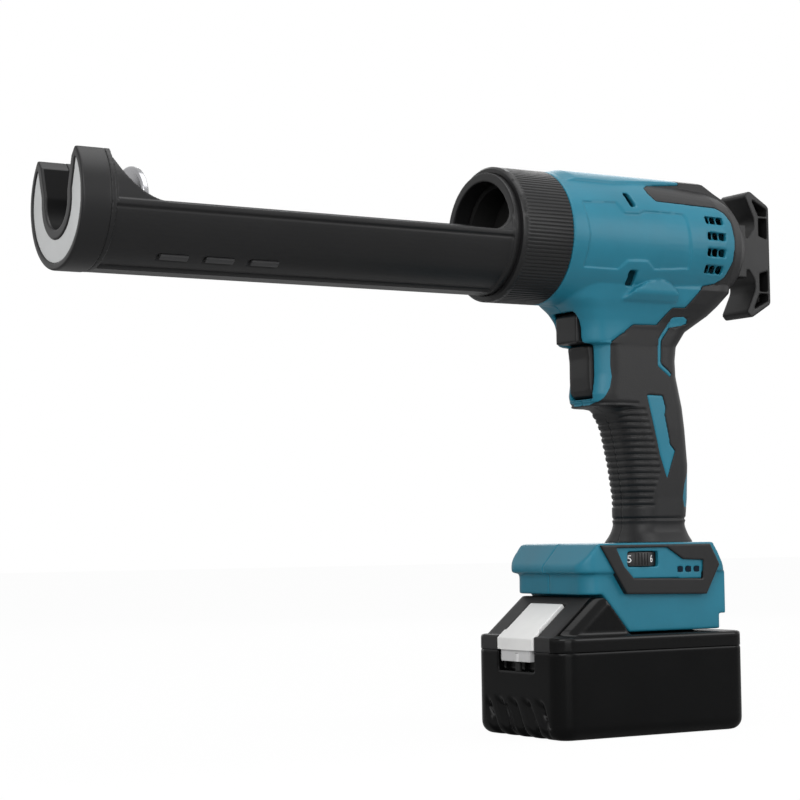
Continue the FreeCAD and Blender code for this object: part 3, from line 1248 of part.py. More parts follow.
button_drop = (d.button_top + d.button_bottom) / 2
node(cut("trigger_solid", fuse("trigger_blank", [
    prism("trigger_lever", "XZ", trigger_outline, 0, d.trigger_half * 2, symmetric=True),
    keeper("trigger_keeper", d.trigger_inner, d.trigger_half, d.trigger_top, d.trigger_bottom)]),
    [spring_room("trigger_spring_room", d.trigger_inner, d.trigger_drop)]), "trigger")
node(coil_sleeve("trigger_coil", d.trigger_inner - d.spring_pocket, d.switch_front, d.trigger_drop),
     "trigger_spring")
button_block = prism("button_block", "XZ", [
    (d.button_front + 1.5, -d.button_top), (d.button_front, -d.button_top - 2),
    (d.button_front, -d.button_bottom),
    (d.button_inner, -d.button_bottom), (d.button_inner, -d.button_top)], 0, d.button_half * 2,
    symmetric=True)
node(cut("button_solid", fuse("button_blank", [
    button_block, keeper("button_keeper", d.button_inner, d.button_half, d.button_top, d.button_bottom)]),
    [spring_room("button_spring_room", d.button_inner, button_drop)]), "lock_button")
node(coil_sleeve("button_coil", d.button_inner - d.spring_pocket, d.button_seat, button_drop), "lock_spring")
node(block("switch_block", (d.switch_front, d.switch_rear), both_ways(d.grip_half - d.wall - d.gap),
           (-d.switch_bottom, -d.switch_top)), "switch_unit")

# Controls in the base: board, speed dial on its potentiometer, lamp windows and the battery terminals

node(block("board_block", (d.board_start, d.board_end), both_ways(lower_half - d.base_wall - d.gap),
           (-d.board_drop - d.board_thick, -d.board_drop)), "control_board")
pot_top = d.dial_drop + d.dial_thick + d.gap
node(fuse("pot_solid", [
    bar("pot_case", ALONG_Z, d.pot_radius, d.board_drop - pot_top, d.dial_x, dial_y, -d.board_drop),
    bar("pot_stem", ALONG_Z, d.pot_shaft, d.board_drop - d.dial_drop - 1, d.dial_x, dial_y, -d.board_drop)]),
    "dial_pot")
dial = round_blank("dial", "XY", d.dial_radius, d.dial_thick)
flute_sketch = start_sketch(dial, "XY", 0)
polygon(flute_sketch, [
    (d.dial_radius + 0.2, -d.dial_flute_depth), (d.dial_radius + 0.2, d.dial_flute_depth),
    (d.dial_radius - d.dial_flute_depth, 0)])
flute = add_pad(dial, flute_sketch, d.dial_thick * 2, symmetric=True, kind="Pocket")
doc.recompute()
repeat_round(dial, flute, "Z", d.dial_flutes)
place(dial, d.dial_x, dial_y, -d.dial_drop - d.dial_thick)
node(cut("dial_solid", dial, [
    bar("dial_bore", ALONG_Z, d.pot_shaft + d.running_fit, d.dial_thick + 2, d.dial_x, dial_y,
        -d.dial_drop - d.dial_thick - 1)]), "speed_dial")
pipe_face = -lower_half + d.base_wall
lamp_end = d.lamp_x + d.lamp_pitch * 2 + d.lamp_width
light_bar = block("light_bar", (d.lamp_x, lamp_end), (pipe_face, pipe_face + 1.5),
                  (-d.lamp_drop - d.lamp_height / 2, -d.lamp_drop + d.lamp_height / 2))
node(fuse("lens_solid", lamp_blocks("lamp", -d.base_half - d.lamp_proud, pipe_face) + [light_bar]),
     "indicator_lens")
block_front = d.channel_end - d.block_depth
blade_drop = (d.rail_drop + d.channel_drop) / 2


def blade_pair(name, x0, x1, half_thick, low, high):
    """Two upright plates, one on each side of the tool's middle."""
    return [block("%s_%d" % (name, i), (x0, x1), (middle - half_thick, middle + half_thick), (low, high))
            for i, middle in enumerate((-d.blade_offset, d.blade_offset))]


blades = blade_pair("blade_plate", block_front - d.blade_length, block_front + 1, d.blade_thick / 2,
                    -blade_drop - d.blade_height / 2, -blade_drop + d.blade_height / 2)
node(fuse("terminal_solid", [block("terminal_plate", (block_front, d.channel_end), both_ways(d.block_half),
                                   (-d.rail_drop, -d.channel_drop))] + blades), "terminal_block")

# Battery: a lower case full of cells, an upper case with the front wedge and the rail head, and a latch

battery_rear = d.battery_front + d.battery_length


def pack_block(name, inset, z0, z1):
    """An upright block of the battery's plan, drawn in by an inset."""
    return rounded_plan(name, d.battery_front + inset, battery_rear - inset, d.battery_half - inset, z0, z1,
                        d.battery_round - inset, d.battery_round_rear - inset)


def foot_edge(edge):
    """True for the edges of the battery's bottom face."""
    low = -d.axis_height.value
    return abs(edge.BoundBox.ZMin - low) < 0.01 and abs(edge.BoundBox.ZMax - low) < 0.01


def slope_z(x, lift):
    """Height of the battery's front slope at one place along the tool, raised by a lift."""
    rise = (d.slope_foot - d.battery_crest) / (d.slope_top_x - d.battery_front)
    return (size(x) - d.battery_front) * rise - d.slope_foot + lift


lip_front = d.battery_front - d.latch_out
lip_back = lip_front + d.latch_thick
plate_end = d.latch_top_x + d.latch_plate / 2
plate_under = d.latch_proud - d.latch_plate
room_under = plate_under - d.latch_travel - d.gap * 2
room_bottom = -d.latch_foot - d.latch_travel - d.gap * 2
room_end = plate_end + d.gap
latch_room = side_prism("latch_room", [
    (lip_front - 3, room_bottom), (lip_front - 3, slope_z(lip_front - 3, 8)),
    (room_end, slope_z(room_end, 8)),
    (room_end, slope_z(room_end, room_under)), (lip_back + d.gap, slope_z(lip_back + d.gap, room_under)),
    (lip_back + d.gap, room_bottom)], d.latch_half + d.gap)
lower_block = pack_block("lower_block", 0, -d.axis_height, -d.battery_seam)
round_edges(lower_block, d.battery_foot, foot_edge)
lower_hollow = pack_block("lower_hollow", d.battery_wall, d.battery_wall - d.axis_height, 1 - d.battery_seam)
latch_house = block("latch_house", (d.battery_front + 1, lip_back + d.battery_wall),
                    both_ways(d.latch_half + d.battery_wall), (room_bottom - d.battery_wall, -d.battery_seam))
GRIP_GROOVES = ((23.1, -232, 17, -242.4), (7.8, -230.5, 0.5, -244), (-10.8, -230, -19.5, -243),
                (-23, -234, -29, -241))
front_grooves = [
    prism("front_groove_%d" % i, "YZ", [
        (y0, z0), (y1, z1), (y1 + d.groove_width, z1), (y0 + d.groove_width, z0)],
        d.battery_front - 1, d.groove_depth + 1)
    for i, (y0, z0, y1, z1) in enumerate(GRIP_GROOVES)]
node(cut("lower_case", fuse("lower_shell", [cut("lower_cup", lower_block, [lower_hollow]), latch_house]),
         [latch_room] + front_grooves), "battery_lower")
wedge = side_prism("wedge", [
    (d.battery_front, -d.battery_seam), (d.battery_front, -d.slope_foot), (d.slope_top_x, -d.battery_crest),
    (d.crest_rear, -d.battery_crest), (d.wedge_end, -d.battery_deck), (d.wedge_end, -d.battery_seam)],
    d.wedge_half)


def slope_edge(edge):
    """True for the two side edges of the wedge's front slope."""
    box = edge.BoundBox
    on_side = abs(abs(edge.CenterOfMass.y) - d.wedge_half.value) < 0.01
    starts_in_front = abs(box.XMin - d.battery_front.value) < 0.01
    return on_side and starts_in_front and abs(box.XMax - d.slope_top_x.value) < 0.01


round_edges(wedge, d.wedge_round, slope_edge)
wedge_trimmed = common("wedge_trimmed", wedge, pack_block("wedge_plan", 0, -d.battery_seam - 1,
                                                          -d.battery_crest + 1))
deck = pack_block("deck", 0, -d.battery_seam, -d.battery_deck)
head = block("head", (d.head_start, d.head_end), both_ways(d.head_half),
             (-d.rail_drop + d.gap, -d.channel_drop - d.gap))
waist = block("waist", (d.head_start, d.head_end), both_ways(d.waist_half),
              (-d.battery_deck - 1, -d.rail_drop + d.gap + 1))
deck_hollow = block("deck_hollow", (d.wedge_end + 3, battery_rear - d.battery_wall),
                    both_ways(d.battery_half - d.battery_wall),
                    (-d.battery_seam - 1, -d.battery_deck - d.battery_wall))
blade_slots = blade_pair("blade_slot", block_front - d.blade_length - 2, d.head_end + 1,
                         d.blade_thick / 2 + 0.7,
                         -blade_drop - d.blade_height / 2 - 1, -d.channel_drop + 1)
node(cut("upper_case", fuse("upper_blank", [deck, wedge_trimmed, head, waist]),
         [latch_room, deck_hollow] + blade_slots), "battery_upper")
cell_bars = []
for row in range(2):
    for column in range(-2, 3):
        x = d.battery_front + d.battery_length / 2 + d.cell_pitch * column
        z = d.battery_wall + 0.2 - d.axis_height + d.cell_radius + d.cell_pitch * row
        cell_bars.append(bar("cell_%d_%d" % (row, column + 2), ALONG_Y, d.cell_radius, d.cell_length, x,
                             -d.cell_length / 2, z))
node(fuse("cell_set", cell_bars), "battery_cells")
latch_lip = side_prism("latch_lip", [
    (lip_front, -d.latch_split), (lip_front, slope_z(lip_front, d.latch_proud)),
    (lip_back, slope_z(lip_back, d.latch_proud)), (lip_back, -d.latch_split)], d.latch_half)
latch_plate = side_prism("latch_plate", [
    (lip_front + 1, slope_z(lip_front + 1, d.latch_proud)), (d.latch_top_x,
                                                             slope_z(d.latch_top_x, d.latch_proud)),
    (plate_end, slope_z(plate_end, plate_under)), (lip_front + 1, slope_z(lip_front + 1, plate_under))],
    d.latch_plate_half)
latch_tab = block("latch_tab", (lip_front, lip_back), both_ways(d.latch_tab_half),
                  (-d.latch_foot, -d.latch_split + 1))
spring_x = (lip_front + lip_back) / 2
spring_top = -d.latch_foot + 4


def latch_coil(name, radius, low, high):
    return bar(name, ALONG_Z, radius, size(high) - low, spring_x, 0, low)


node(cut("latch_solid", fuse("latch_blank", [latch_lip, latch_plate, latch_tab]),
         [latch_coil("latch_spring_room", d.latch_spring_radius + d.gap, -d.latch_foot - 1, spring_top)]),
     "latch_button")
node(cut("latch_coil_sleeve", latch_coil("latch_coil_outside", d.latch_spring_radius, room_bottom,
                                         spring_top), [
    latch_coil("latch_coil_inside", d.latch_spring_radius - d.latch_spring_wall, room_bottom - 1,
               spring_top + 1)]),
    "latch_spring")

# Test every object and every sub-part, then write one file for each sub-part

doc.recompute()
faults = ["%s: %s" % (obj.Name, obj.State) for obj in doc.Objects
          if "Invalid" in obj.State or "Error" in obj.State]
for piece in nodes:
    if piece.Shape.isNull() or not piece.Shape.isValid() or not piece.Shape.Solids:
        faults.append("%s has no sound solid" % piece.Label)
if faults:
    raise RuntimeError("\n".join(faults))
os.makedirs("parts", exist_ok=True)
for piece in nodes:
    piece.Shape.exportStep("parts/%s.step" % piece.Label)
print("%d sub-parts written" % len(nodes))
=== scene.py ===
import math

import bmesh
import bpy
import numpy as np
from mathutils import Matrix, Vector


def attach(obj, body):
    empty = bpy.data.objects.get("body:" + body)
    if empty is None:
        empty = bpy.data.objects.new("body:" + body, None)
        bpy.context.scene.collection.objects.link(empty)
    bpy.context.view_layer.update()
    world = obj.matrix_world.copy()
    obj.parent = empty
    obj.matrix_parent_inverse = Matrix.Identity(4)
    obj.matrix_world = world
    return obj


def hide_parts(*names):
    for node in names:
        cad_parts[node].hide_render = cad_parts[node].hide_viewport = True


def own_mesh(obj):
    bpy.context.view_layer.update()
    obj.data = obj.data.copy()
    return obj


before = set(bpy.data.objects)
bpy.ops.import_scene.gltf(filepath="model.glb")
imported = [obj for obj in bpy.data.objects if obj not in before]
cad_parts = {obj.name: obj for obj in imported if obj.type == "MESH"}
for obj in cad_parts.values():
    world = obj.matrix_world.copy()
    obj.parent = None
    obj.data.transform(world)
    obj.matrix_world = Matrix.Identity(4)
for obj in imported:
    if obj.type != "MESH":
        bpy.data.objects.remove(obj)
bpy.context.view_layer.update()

# Barrel trough: the open half tube that carries the cartridge, moulded in one piece with
# its front flange, keel and rear ring. Glass filled black nylon with a fine matt grain.
MM = 0.001
SHIFT = Vector((-297.0, 0.0, 246.5))
SHARP = math.radians(28.0)
WELD = 0.002 * MM
EASE_FACTOR = 0.5
FINE_DETAIL = 4.0
BROAD_SCALE = 45.0
BROAD_DETAIL = 3.0
NOISE_MIDDLE = 0.5
TINT_LOW = 0.86
TINT_HIGH = 1.14
GRAIN_DEPTH = 0.0004


def at(x, y, z):
    """A point measured in mm from the middle of the cap's face: along the barrel, to the right and up."""
    return (Vector((x, y, z)) + SHIFT) * MM


def in_mm(point):
    """The same measure, taken back from a point of the part."""
    return point / MM - SHIFT


def math_node(nodes, operation, second=None):
    """A math node, with its second value where that is a plain number."""
    node = nodes.new("ShaderNodeMath")
    node.operation = operation
    if second is not None:
        node.inputs[1].default_value = second
    return node


def moulded_grain():
    """Fine spark texture of a moulded surface: a bump height, and a roughness and colour that vary a bit."""
    group = bpy.data.node_groups.new("moulded_grain", "ShaderNodeTree")
    sockets = (
        ("Scale", "INPUT", "NodeSocketFloat"),
        ("Roughness", "INPUT", "NodeSocketFloat"),
        ("Spread", "INPUT", "NodeSocketFloat"),
        ("Colour", "INPUT", "NodeSocketColor"),
        ("Height", "OUTPUT", "NodeSocketFloat"),
        ("Roughness", "OUTPUT", "NodeSocketFloat"),
        ("Colour", "OUTPUT", "NodeSocketColor"),
    )
    for name, direction, kind in sockets:
        group.interface.new_socket(name, in_out=direction, socket_type=kind)
    nodes = group.nodes
    start = nodes.new("NodeGroupInput")
    end = nodes.new("NodeGroupOutput")
    place = nodes.new("ShaderNodeTexCoord")
    fine = nodes.new("ShaderNodeTexNoise")
    fine.inputs["Detail"].default_value = FINE_DETAIL
    broad = nodes.new("ShaderNodeTexNoise")
    broad.inputs["Scale"].default_value = BROAD_SCALE
    broad.inputs["Detail"].default_value = BROAD_DETAIL
    swing = math_node(nodes, "SUBTRACT", NOISE_MIDDLE)
    share = math_node(nodes, "MULTIPLY_ADD")
    tint = nodes.new("ShaderNodeMapRange")
    tint.inputs["To Min"].default_value = TINT_LOW
    tint.inputs["To Max"].default_value = TINT_HIGH
    shade = nodes.new("ShaderNodeMix")
    shade.data_type = "RGBA"
    shade.blend_type = "MULTIPLY"
    shade.inputs["Factor"].default_value = 1.0
    link = group.links.new
    link(place.outputs["Object"], fine.inputs["Vector"])
    link(place.outputs["Object"], broad.inputs["Vector"])
    link(start.outputs["Scale"], fine.inputs["Scale"])
    link(broad.outputs["Fac"], swing.inputs[0])
    link(swing.outputs[0], share.inputs[0])
    link(start.outputs["Spread"], share.inputs[1])
    link(start.outputs["Roughness"], share.inputs[2])
    link(broad.outputs["Fac"], tint.inputs["Value"])
    link(start.outputs["Colour"], shade.inputs["A"])
    link(tint.outputs["Result"], shade.inputs["B"])
    link(fine.outputs["Fac"], end.inputs["Height"])
    link(share.outputs[0], end.inputs["Roughness"])
    link(shade.outputs["Result"], end.inputs["Colour"])
    return group


GRAIN = moulded_grain()


def moulded(name, colour, roughness, grain=0.06, size=2600.0, specular=0.35, spread=0.12, metallic=0.0):
    """A material with the moulded grain laid over one colour."""
    material = bpy.data.materials.new(name)
    material.use_nodes = True
    nodes = material.node_tree.nodes
    shader = nodes["Principled BSDF"]
    texture = nodes.new("ShaderNodeGroup")
    texture.node_tree = GRAIN
    texture.inputs["Scale"].default_value = size
    texture.inputs["Roughness"].default_value = roughness
    texture.inputs["Spread"].default_value = spread
    texture.inputs["Colour"].default_value = (*colour, 1.0)
    bump = nodes.new("ShaderNodeBump")
    bump.inputs["Strength"].default_value = grain
    bump.inputs["Distance"].default_value = GRAIN_DEPTH
    shader.inputs["Specular IOR Level"].default_value = specular
    shader.inputs["Metallic"].default_value = metallic
    link = material.node_tree.links.new
    link(texture.outputs["Colour"], shader.inputs["Base Color"])
    link(texture.outputs["Roughness"], shader.inputs["Roughness"])
    link(texture.outputs["Height"], bump.inputs["Height"])
    link(bump.outputs["Normal"], shader.inputs["Normal"])
    return material


def merged_copy(*nodes):
    """The surfaces of some nodes with their corners joined."""
    surface = bmesh.new()
    for node in nodes:
        surface.from_mesh(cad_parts[node].data)
    bmesh.ops.remove_doubles(surface, verts=surface.verts, dist=WELD)
    return surface


def evaluated(carrier):
    """The mesh that an object's modifiers make of it."""
    return bpy.data.meshes.new_from_object(carrier.evaluated_get(bpy.context.evaluated_depsgraph_get()))


def remoulded(*nodes, voxel, passes, boxes=(), splits=()):
    """The nodes' surface as it leaves the mould: an even skin, eased all over and more so in some boxes.

    The voxel is in mm. A box is two corners and its own passes.
    A split is INTERSECT or DIFFERENCE and a block.
    """
    surface = merged_copy(*nodes)
    mesh = bpy.data.meshes.new("skin")
    surface.to_mesh(mesh)
    surface.free()
    carrier = bpy.data.objects.new("skin", mesh)
    bpy.context.scene.collection.objects.link(carrier)
    skin = carrier.modifiers.new("skin", "REMESH")
    skin.mode = "VOXEL"
    skin.voxel_size = voxel * MM
    polish = carrier.modifiers.new("polish", "SMOOTH")
    polish.factor = EASE_FACTOR
    polish.iterations = passes
    for operation, block in splits:
        split = carrier.modifiers.new("split", "BOOLEAN")
        split.operation = operation
        split.solver = "MANIFOLD"
        split.object = block
    made = evaluated(carrier)
    if boxes:
        carrier.modifiers.clear()
        carrier.data = made
        places = np.empty(len(made.vertices) * 3)
        made.vertices.foreach_get("co", places)
        places = places.reshape(-1, 3)
        for low, high, times in boxes:
            inside = ((places >= np.array(at(*low))) & (places <= np.array(at(*high)))).all(axis=1)
            group = carrier.vertex_groups.new(name="soft")
            group.add(np.flatnonzero(inside).tolist(), 1.0, "REPLACE")
            soft = carrier.modifiers.new("soft", "SMOOTH")
            soft.factor = EASE_FACTOR
            soft.iterations = times
            soft.vertex_group = group.name
        made = evaluated(carrier)
    surface = bmesh.new()
    surface.from_mesh(made)
    for layer in list(surface.verts.layers.deform.values()):
        surface.verts.layers.deform.remove(layer)
    bpy.data.objects.remove(carrier)
    bpy.data.meshes.remove(made)
    return surface


def make_piece(surface, name, body, material, slot, *nodes, share=1.0, crisp=False):
    """Turns a finished surface into a piece that rides on a body and stands for its nodes."""
    mesh = bpy.data.meshes.new(name)
    surface.to_mesh(mesh)
    surface.free()
    mesh.materials.append(material)
    for face in mesh.polygons:
        face.use_smooth = True
    if crisp:
        mesh.set_sharp_from_angle(angle=SHARP)
    piece = bpy.data.objects.new(name, mesh)
    bpy.context.scene.collection.objects.link(piece)
    if share < 1.0:
        piece.modifiers.new("thin", "DECIMATE").ratio = share
    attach(piece, body)
    if nodes:
        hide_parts(*nodes)
    return piece


charcoal = moulded("charcoal_nylon", (0.0088, 0.0088, 0.0092), roughness=0.4, specular=0.24)
tube = remoulded("barrel_trough", voxel=0.5, passes=2)
make_piece(tube, "barrel_tube", "barrel", charcoal, "charcoal_plastic", "barrel_trough", share=0.4)

# Sight bars: three low bars in a row on each side of the trough, over the slots that core them
# out, where the eye follows the cartridge. Moulded with the trough, in a lighter black that is
# painted light, standing for the lamps catching the bars.
SIGHT_COUNT = 3
SIGHT_MIDDLE = 48.8
SIGHT_PITCH = 22.6
SIGHT_SIZE = Vector((13.8, 3.2, 1.9)) * MM
SIGHT_ROUND = 0.45 * MM
SIGHT_RADIUS = 28.7
SIGHT_TURN = math.radians(145.9)


def round_edges(surface, edges, size, segments):
    """Rounds some edges of a surface."""
    bmesh.ops.bevel(
        surface,
        geom=edges,
        offset=size,
        offset_type="OFFSET",
        segments=segments,
        profile=0.5,
        affect="EDGES",
        material=-1,
    )


# The bars' black is lighter than the trough's: painted light where they catch the lamps.
sight_bar_painted_light = moulded("sight_bar_painted_light", (0.030, 0.030, 0.031), roughness=0.4, specular=0.35)
sight_bm = bmesh.new()
for side in (-1.0, 1.0):
    for count in range(SIGHT_COUNT):
        lean = Matrix.Rotation(-side * SIGHT_TURN, 4, "X")
        outward = lean @ Vector((0.0, 0.0, SIGHT_RADIUS))
        place = at(SIGHT_MIDDLE + SIGHT_PITCH * count, outward.y, outward.z)
        stand = Matrix.Translation(place) @ lean @ Matrix.Diagonal((*SIGHT_SIZE, 1.0))
        bmesh.ops.create_cube(sight_bm, size=1.0, matrix=stand)
round_edges(sight_bm, list(sight_bm.edges), SIGHT_ROUND, segments=3)
make_piece(sight_bm, "sight_bars", "barrel", sight_bar_painted_light, "charcoal_plastic", crisp=True)

# Front cap: a thick ring with an open U slot, where the cartridge nozzle drops in. Moulded in
# the same black nylon as the trough and held to its flange by four screws from behind.
# The faces inside the slot get a darker, duller black than the rest of the cap: painted shade for the shadow
# that fills the slot.
SLOT_REACH = 24.0
SLOT_START = 1.3
slot_painted_shade = moulded("slot_painted_shade", (0.004, 0.004, 0.0042), roughness=0.5, specular=0.06)
cap_bm = remoulded("front_cap", voxel=0.4, passes=10)
for face in cap_bm.faces:
    place = in_mm(face.calc_center_median())
    face.material_index = int(place.x > SLOT_START and math.hypot(place.y, place.z) < SLOT_REACH)
cap = make_piece(cap_bm, "nose_cap", "barrel", charcoal, "charcoal_plastic", "front_cap", share=0.7)
cap.data.materials.append(slot_painted_shade)

# Pad: a pale soft strip pressed into the groove of the cap's face, which stops the cartridge
# from rattling. Die cut from light grey foamed rubber.
pale_rubber = moulded(
    "pale_rubber", (0.62, 0.63, 0.63), roughness=0.72, grain=0.12, size=1400.0, specular=0.25
)
pad = remoulded("front_pad", voxel=0.3, passes=4)
make_piece(pad, "nose_pad", "barrel", pale_rubber, "pale_pad", "front_pad", share=0.5)


# Cap screws: small self tapping screws with pan heads, zinc plated steel, driven through the
# flange into the cap.
def dress(node, material):
    """Gives a node that stays as it is its finish."""
    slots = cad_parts[node].data.materials
    slots.clear()
    slots.append(material)


plain_steel = moulded("zinc_plated_steel", (0.42, 0.42, 0.43), roughness=0.36, metallic=1.0, specular=0.5)
dress("cap_screws", plain_steel)

# Locking collar: a turned down nut that draws the trough onto the nose of the tool. Black
# nylon with fine lengthwise knurls for the hand.
collar = merged_copy("locking_collar")
make_piece(collar, "knurled_collar", "collar", charcoal, "charcoal_plastic", "locking_collar", crisp=True)

# Nose mount and rod guides: the blackened nose that carries the collar's thread, and the two
# bushes that the rack rod slides in, black nylon as well.
inside_black = moulded("inside_black", (0.012, 0.012, 0.012), roughness=0.6, specular=0.2)
for node in ("nose_mount", "front_rod_guide", "rear_rod_guide"):
    dress(node, inside_black)

# Rack rod and pusher: a square steel rod with teeth cut along its underside, and the bright
# plated disc that pushes the cartridge's piston, held on by one screw.
chrome = moulded(
    "bright_plate", (0.30, 0.30, 0.31), roughness=0.22, grain=0.01, metallic=1.0, specular=0.5, spread=0.04
)
dark_steel = moulded(
    "oiled_steel", (0.07, 0.07, 0.072), roughness=0.4, grain=0.05, metallic=1.0, specular=0.5
)
dress("rack_rod", dark_steel)
disc = remoulded("pusher_plate", voxel=0.25, passes=4)
make_piece(disc, "pusher_disc", "rod", chrome, "bright_steel", "pusher_plate", share=0.4)
dress("pusher_screw", plain_steel)
dress("handle_pin", plain_steel)

# Pull handle: the bar that draws the rod back by hand, moulded in black nylon with cored out
# pockets and pinned to the rod's rear end.
bar = remoulded("pull_handle", voxel=0.4, passes=10)
make_piece(bar, "pull_bar", "rod", charcoal, "charcoal_plastic", "pull_handle", share=0.6)

# Drive: the pinion and its shaft, the gear case, and the motor that lies along the body. Cut
# and hardened steel in a cast case.
for node in ("drive_pinion", "pinion_shaft", "shaft_bearings"):
    dress(node, plain_steel)
dress("motor_can", dark_steel)
cast_alloy = moulded("cast_alloy", (0.30, 0.30, 0.31), roughness=0.5, grain=0.2, size=900.0, metallic=1.0)
for node in ("gear_case", "gear_cover"):
    dress(node, cast_alloy)
dress("motor_end_cap", inside_black)

# Trigger, button above it and their switch: black nylon levers that slide back into the grip
# against two small steel springs. The trigger's spring shortens as the trigger goes in; here it is
# one fixed piece that rides on the body.
FINGER_BOXES = (
    ((266.0, -14.0, -90.0), (289.5, -5.5, -44.0), 60),
    ((266.0, 5.5, -90.0), (289.5, 14.0, -44.0), 60),
    ((266.0, -14.0, -90.0), (289.5, 14.0, -77.5), 40),
)
lever = remoulded("trigger", voxel=0.45, passes=4, boxes=FINGER_BOXES)
make_piece(lever, "finger_trigger", "trigger", charcoal, "charcoal_plastic", "trigger", share=0.5)
button = remoulded("lock_button", voxel=0.4, passes=30)
make_piece(button, "upper_button", "lock", charcoal, "charcoal_plastic", "lock_button", share=0.5)
sleeve = merged_copy("trigger_spring")
coil = make_piece(sleeve, "trigger_coil", "body", plain_steel, "plain_steel", "trigger_spring", crisp=True)
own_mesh(coil)
dress("lock_spring", plain_steel)
dress("switch_unit", inside_black)

# Controls in the base: the circuit board, the potentiometer under the dial, the lamp lenses
# and the terminals for the battery. Stock parts that sit in the housing's pockets.
board_green = moulded("board_green", (0.02, 0.16, 0.06), roughness=0.4)
smoke_lens = moulded("smoke_lens", (0.003, 0.010, 0.020), roughness=0.2, grain=0.0, specular=0.12)
brass = moulded("terminal_brass", (0.72, 0.52, 0.24), roughness=0.3, metallic=1.0)
dress("control_board", board_green)
dress("dial_pot", inside_black)
dress("indicator_lens", smoke_lens)
dress("terminal_block", brass)

# Speed dial: a flat black nylon wheel that stands a little out of the base, with fine upright
# serrations for the thumb and six white numbers printed on plain lands between them.
DIAL_CENTRE = at(293.5, -20.5, -160.5)
DIAL_RADIUS = 13.5 * MM
DIAL_THICK = 7.0 * MM
DIAL_ROUND = 0.5 * MM
DIAL_STRIPS = 144
DIAL_STEP = math.radians(56.0)
DIAL_AT_REST = math.radians(-6.0)
WINDOW_MIDDLE = 5.5
LAND_HALF = math.radians(10.0)
LEVEL = 0.1 * MM
UPRIGHT_FACE = 0.1
SERRATION_SPACING = 3
SERRATION_BAND = DIAL_THICK * 0.3
SERRATION_EDGE = 0.06 * MM
SERRATION_DEPTH = 0.45 * MM
NUMBERS = range(1, 7)
NUMBER_SIZE = 5.2 * MM
NUMBER_THICK = 0.03 * MM
NUMBER_WELD = 0.001 * MM
dial_bm = bmesh.new()
bmesh.ops.create_cone(
    dial_bm,
    cap_ends=True,
    segments=DIAL_STRIPS,
    radius1=DIAL_RADIUS,
    radius2=DIAL_RADIUS,
    depth=DIAL_THICK,
)
rims = [edge for edge in dial_bm.edges if abs(edge.verts[0].co.z - edge.verts[1].co.z) < LEVEL]
round_edges(dial_bm, rims, DIAL_ROUND, segments=2)


def number_angle(number):
    """Where a number stands on the dial, from the middle of its window: 5 and 6 show at its two ends."""
    return (number - WINDOW_MIDDLE) * DIAL_STEP + DIAL_AT_REST


def on_serration(face):
    """True for every third strip of the rim that lies between the numbers."""
    centre = face.calc_center_median()
    if abs(face.normal.z) > UPRIGHT_FACE or abs(centre.z) > SERRATION_BAND:
        return False
    angle = math.atan2(centre.x, -centre.y)
    turns = [(angle - number_angle(number) + math.pi) % math.tau - math.pi for number in NUMBERS]
    strip = round(angle / math.tau * DIAL_STRIPS - 0.5)
    return strip % SERRATION_SPACING == 0 and min(abs(turn) for turn in turns) > LAND_HALF


serrations = [face for face in dial_bm.faces if on_serration(face)]
bmesh.ops.inset_individual(dial_bm, faces=serrations, thickness=SERRATION_EDGE, depth=-SERRATION_DEPTH)
bmesh.ops.translate(dial_bm, verts=dial_bm.verts, vec=DIAL_CENTRE)
dial_nylon = moulded("dial_nylon", (0.017, 0.017, 0.0175), roughness=0.42, specular=0.3)
make_piece(dial_bm, "thumb_dial", "dial", dial_nylon, "charcoal_plastic", "speed_dial", crisp=True)
number_bm = bmesh.new()
for number in NUMBERS:
    print_curve = bpy.data.curves.new("number", "FONT")
    print_curve.body = str(number)
    print_curve.size = NUMBER_SIZE
    print_curve.extrude = NUMBER_THICK
    print_curve.align_x = "CENTER"
    print_curve.align_y = "CENTER"
    carrier = bpy.data.objects.new("number", print_curve)
    flat_number = bpy.data.meshes.new_from_object(carrier)
    angle = number_angle(number)
    across_rim = Vector((math.cos(angle), math.sin(angle), 0.0))
    outward = Vector((math.sin(angle), -math.cos(angle), 0.0))
    stand = Matrix((across_rim, (0.0, 0.0, 1.0), outward)).transposed().to_4x4()
    flat_number.transform(Matrix.Translation(DIAL_CENTRE + outward * DIAL_RADIUS) @ stand)
    number_bm.from_mesh(flat_number)
    bpy.data.objects.remove(carrier)
    bpy.data.curves.remove(print_curve)
    bpy.data.meshes.remove(flat_number)
bmesh.ops.remove_doubles(number_bm, verts=number_bm.verts, dist=NUMBER_WELD)
white_print = moulded("white_print", (0.75, 0.75, 0.75), roughness=0.5, grain=0.02, specular=0.2)
make_piece(number_bm, "dial_numbers", "dial", white_print, "white_latch", crisp=True)

# Housing halves: the two teal clamshell halves of glass filled nylon that hold the drive and
# the switch, joined on the middle plane by screws from the right.
SIDES = (("left", -1.0), ("right", 1.0))
SEAM_MARGIN = 1.5
SIDE_REACH = 42.0


def side_box(away, length, height, times):
    """A box for extra easing on one side of the tool, clear of the seam on the middle plane."""
    near, far = sorted((away * SEAM_MARGIN, away * SIDE_REACH))
    return ((length[0], near, height[0]), (length[1], far, height[1]), times)


teal = moulded("teal_nylon", (0.0125, 0.146, 0.214), roughness=0.4, grain=0.05, specular=0.27)
for side, away in SIDES:
    neck_box = side_box(away, length=(258.0, 345.0), height=(-62.0, -26.0), times=25)
    base_box = side_box(away, length=(225.0, 281.0), height=(-172.0, -150.0), times=30)
    shell = remoulded(side + "_housing", voxel=0.6, passes=4, boxes=(neck_box, base_box))
    make_piece(shell, side + "_shell", "body", teal, "teal_plastic", side + "_housing", share=0.4)
dress("housing_screws", plain_steel)

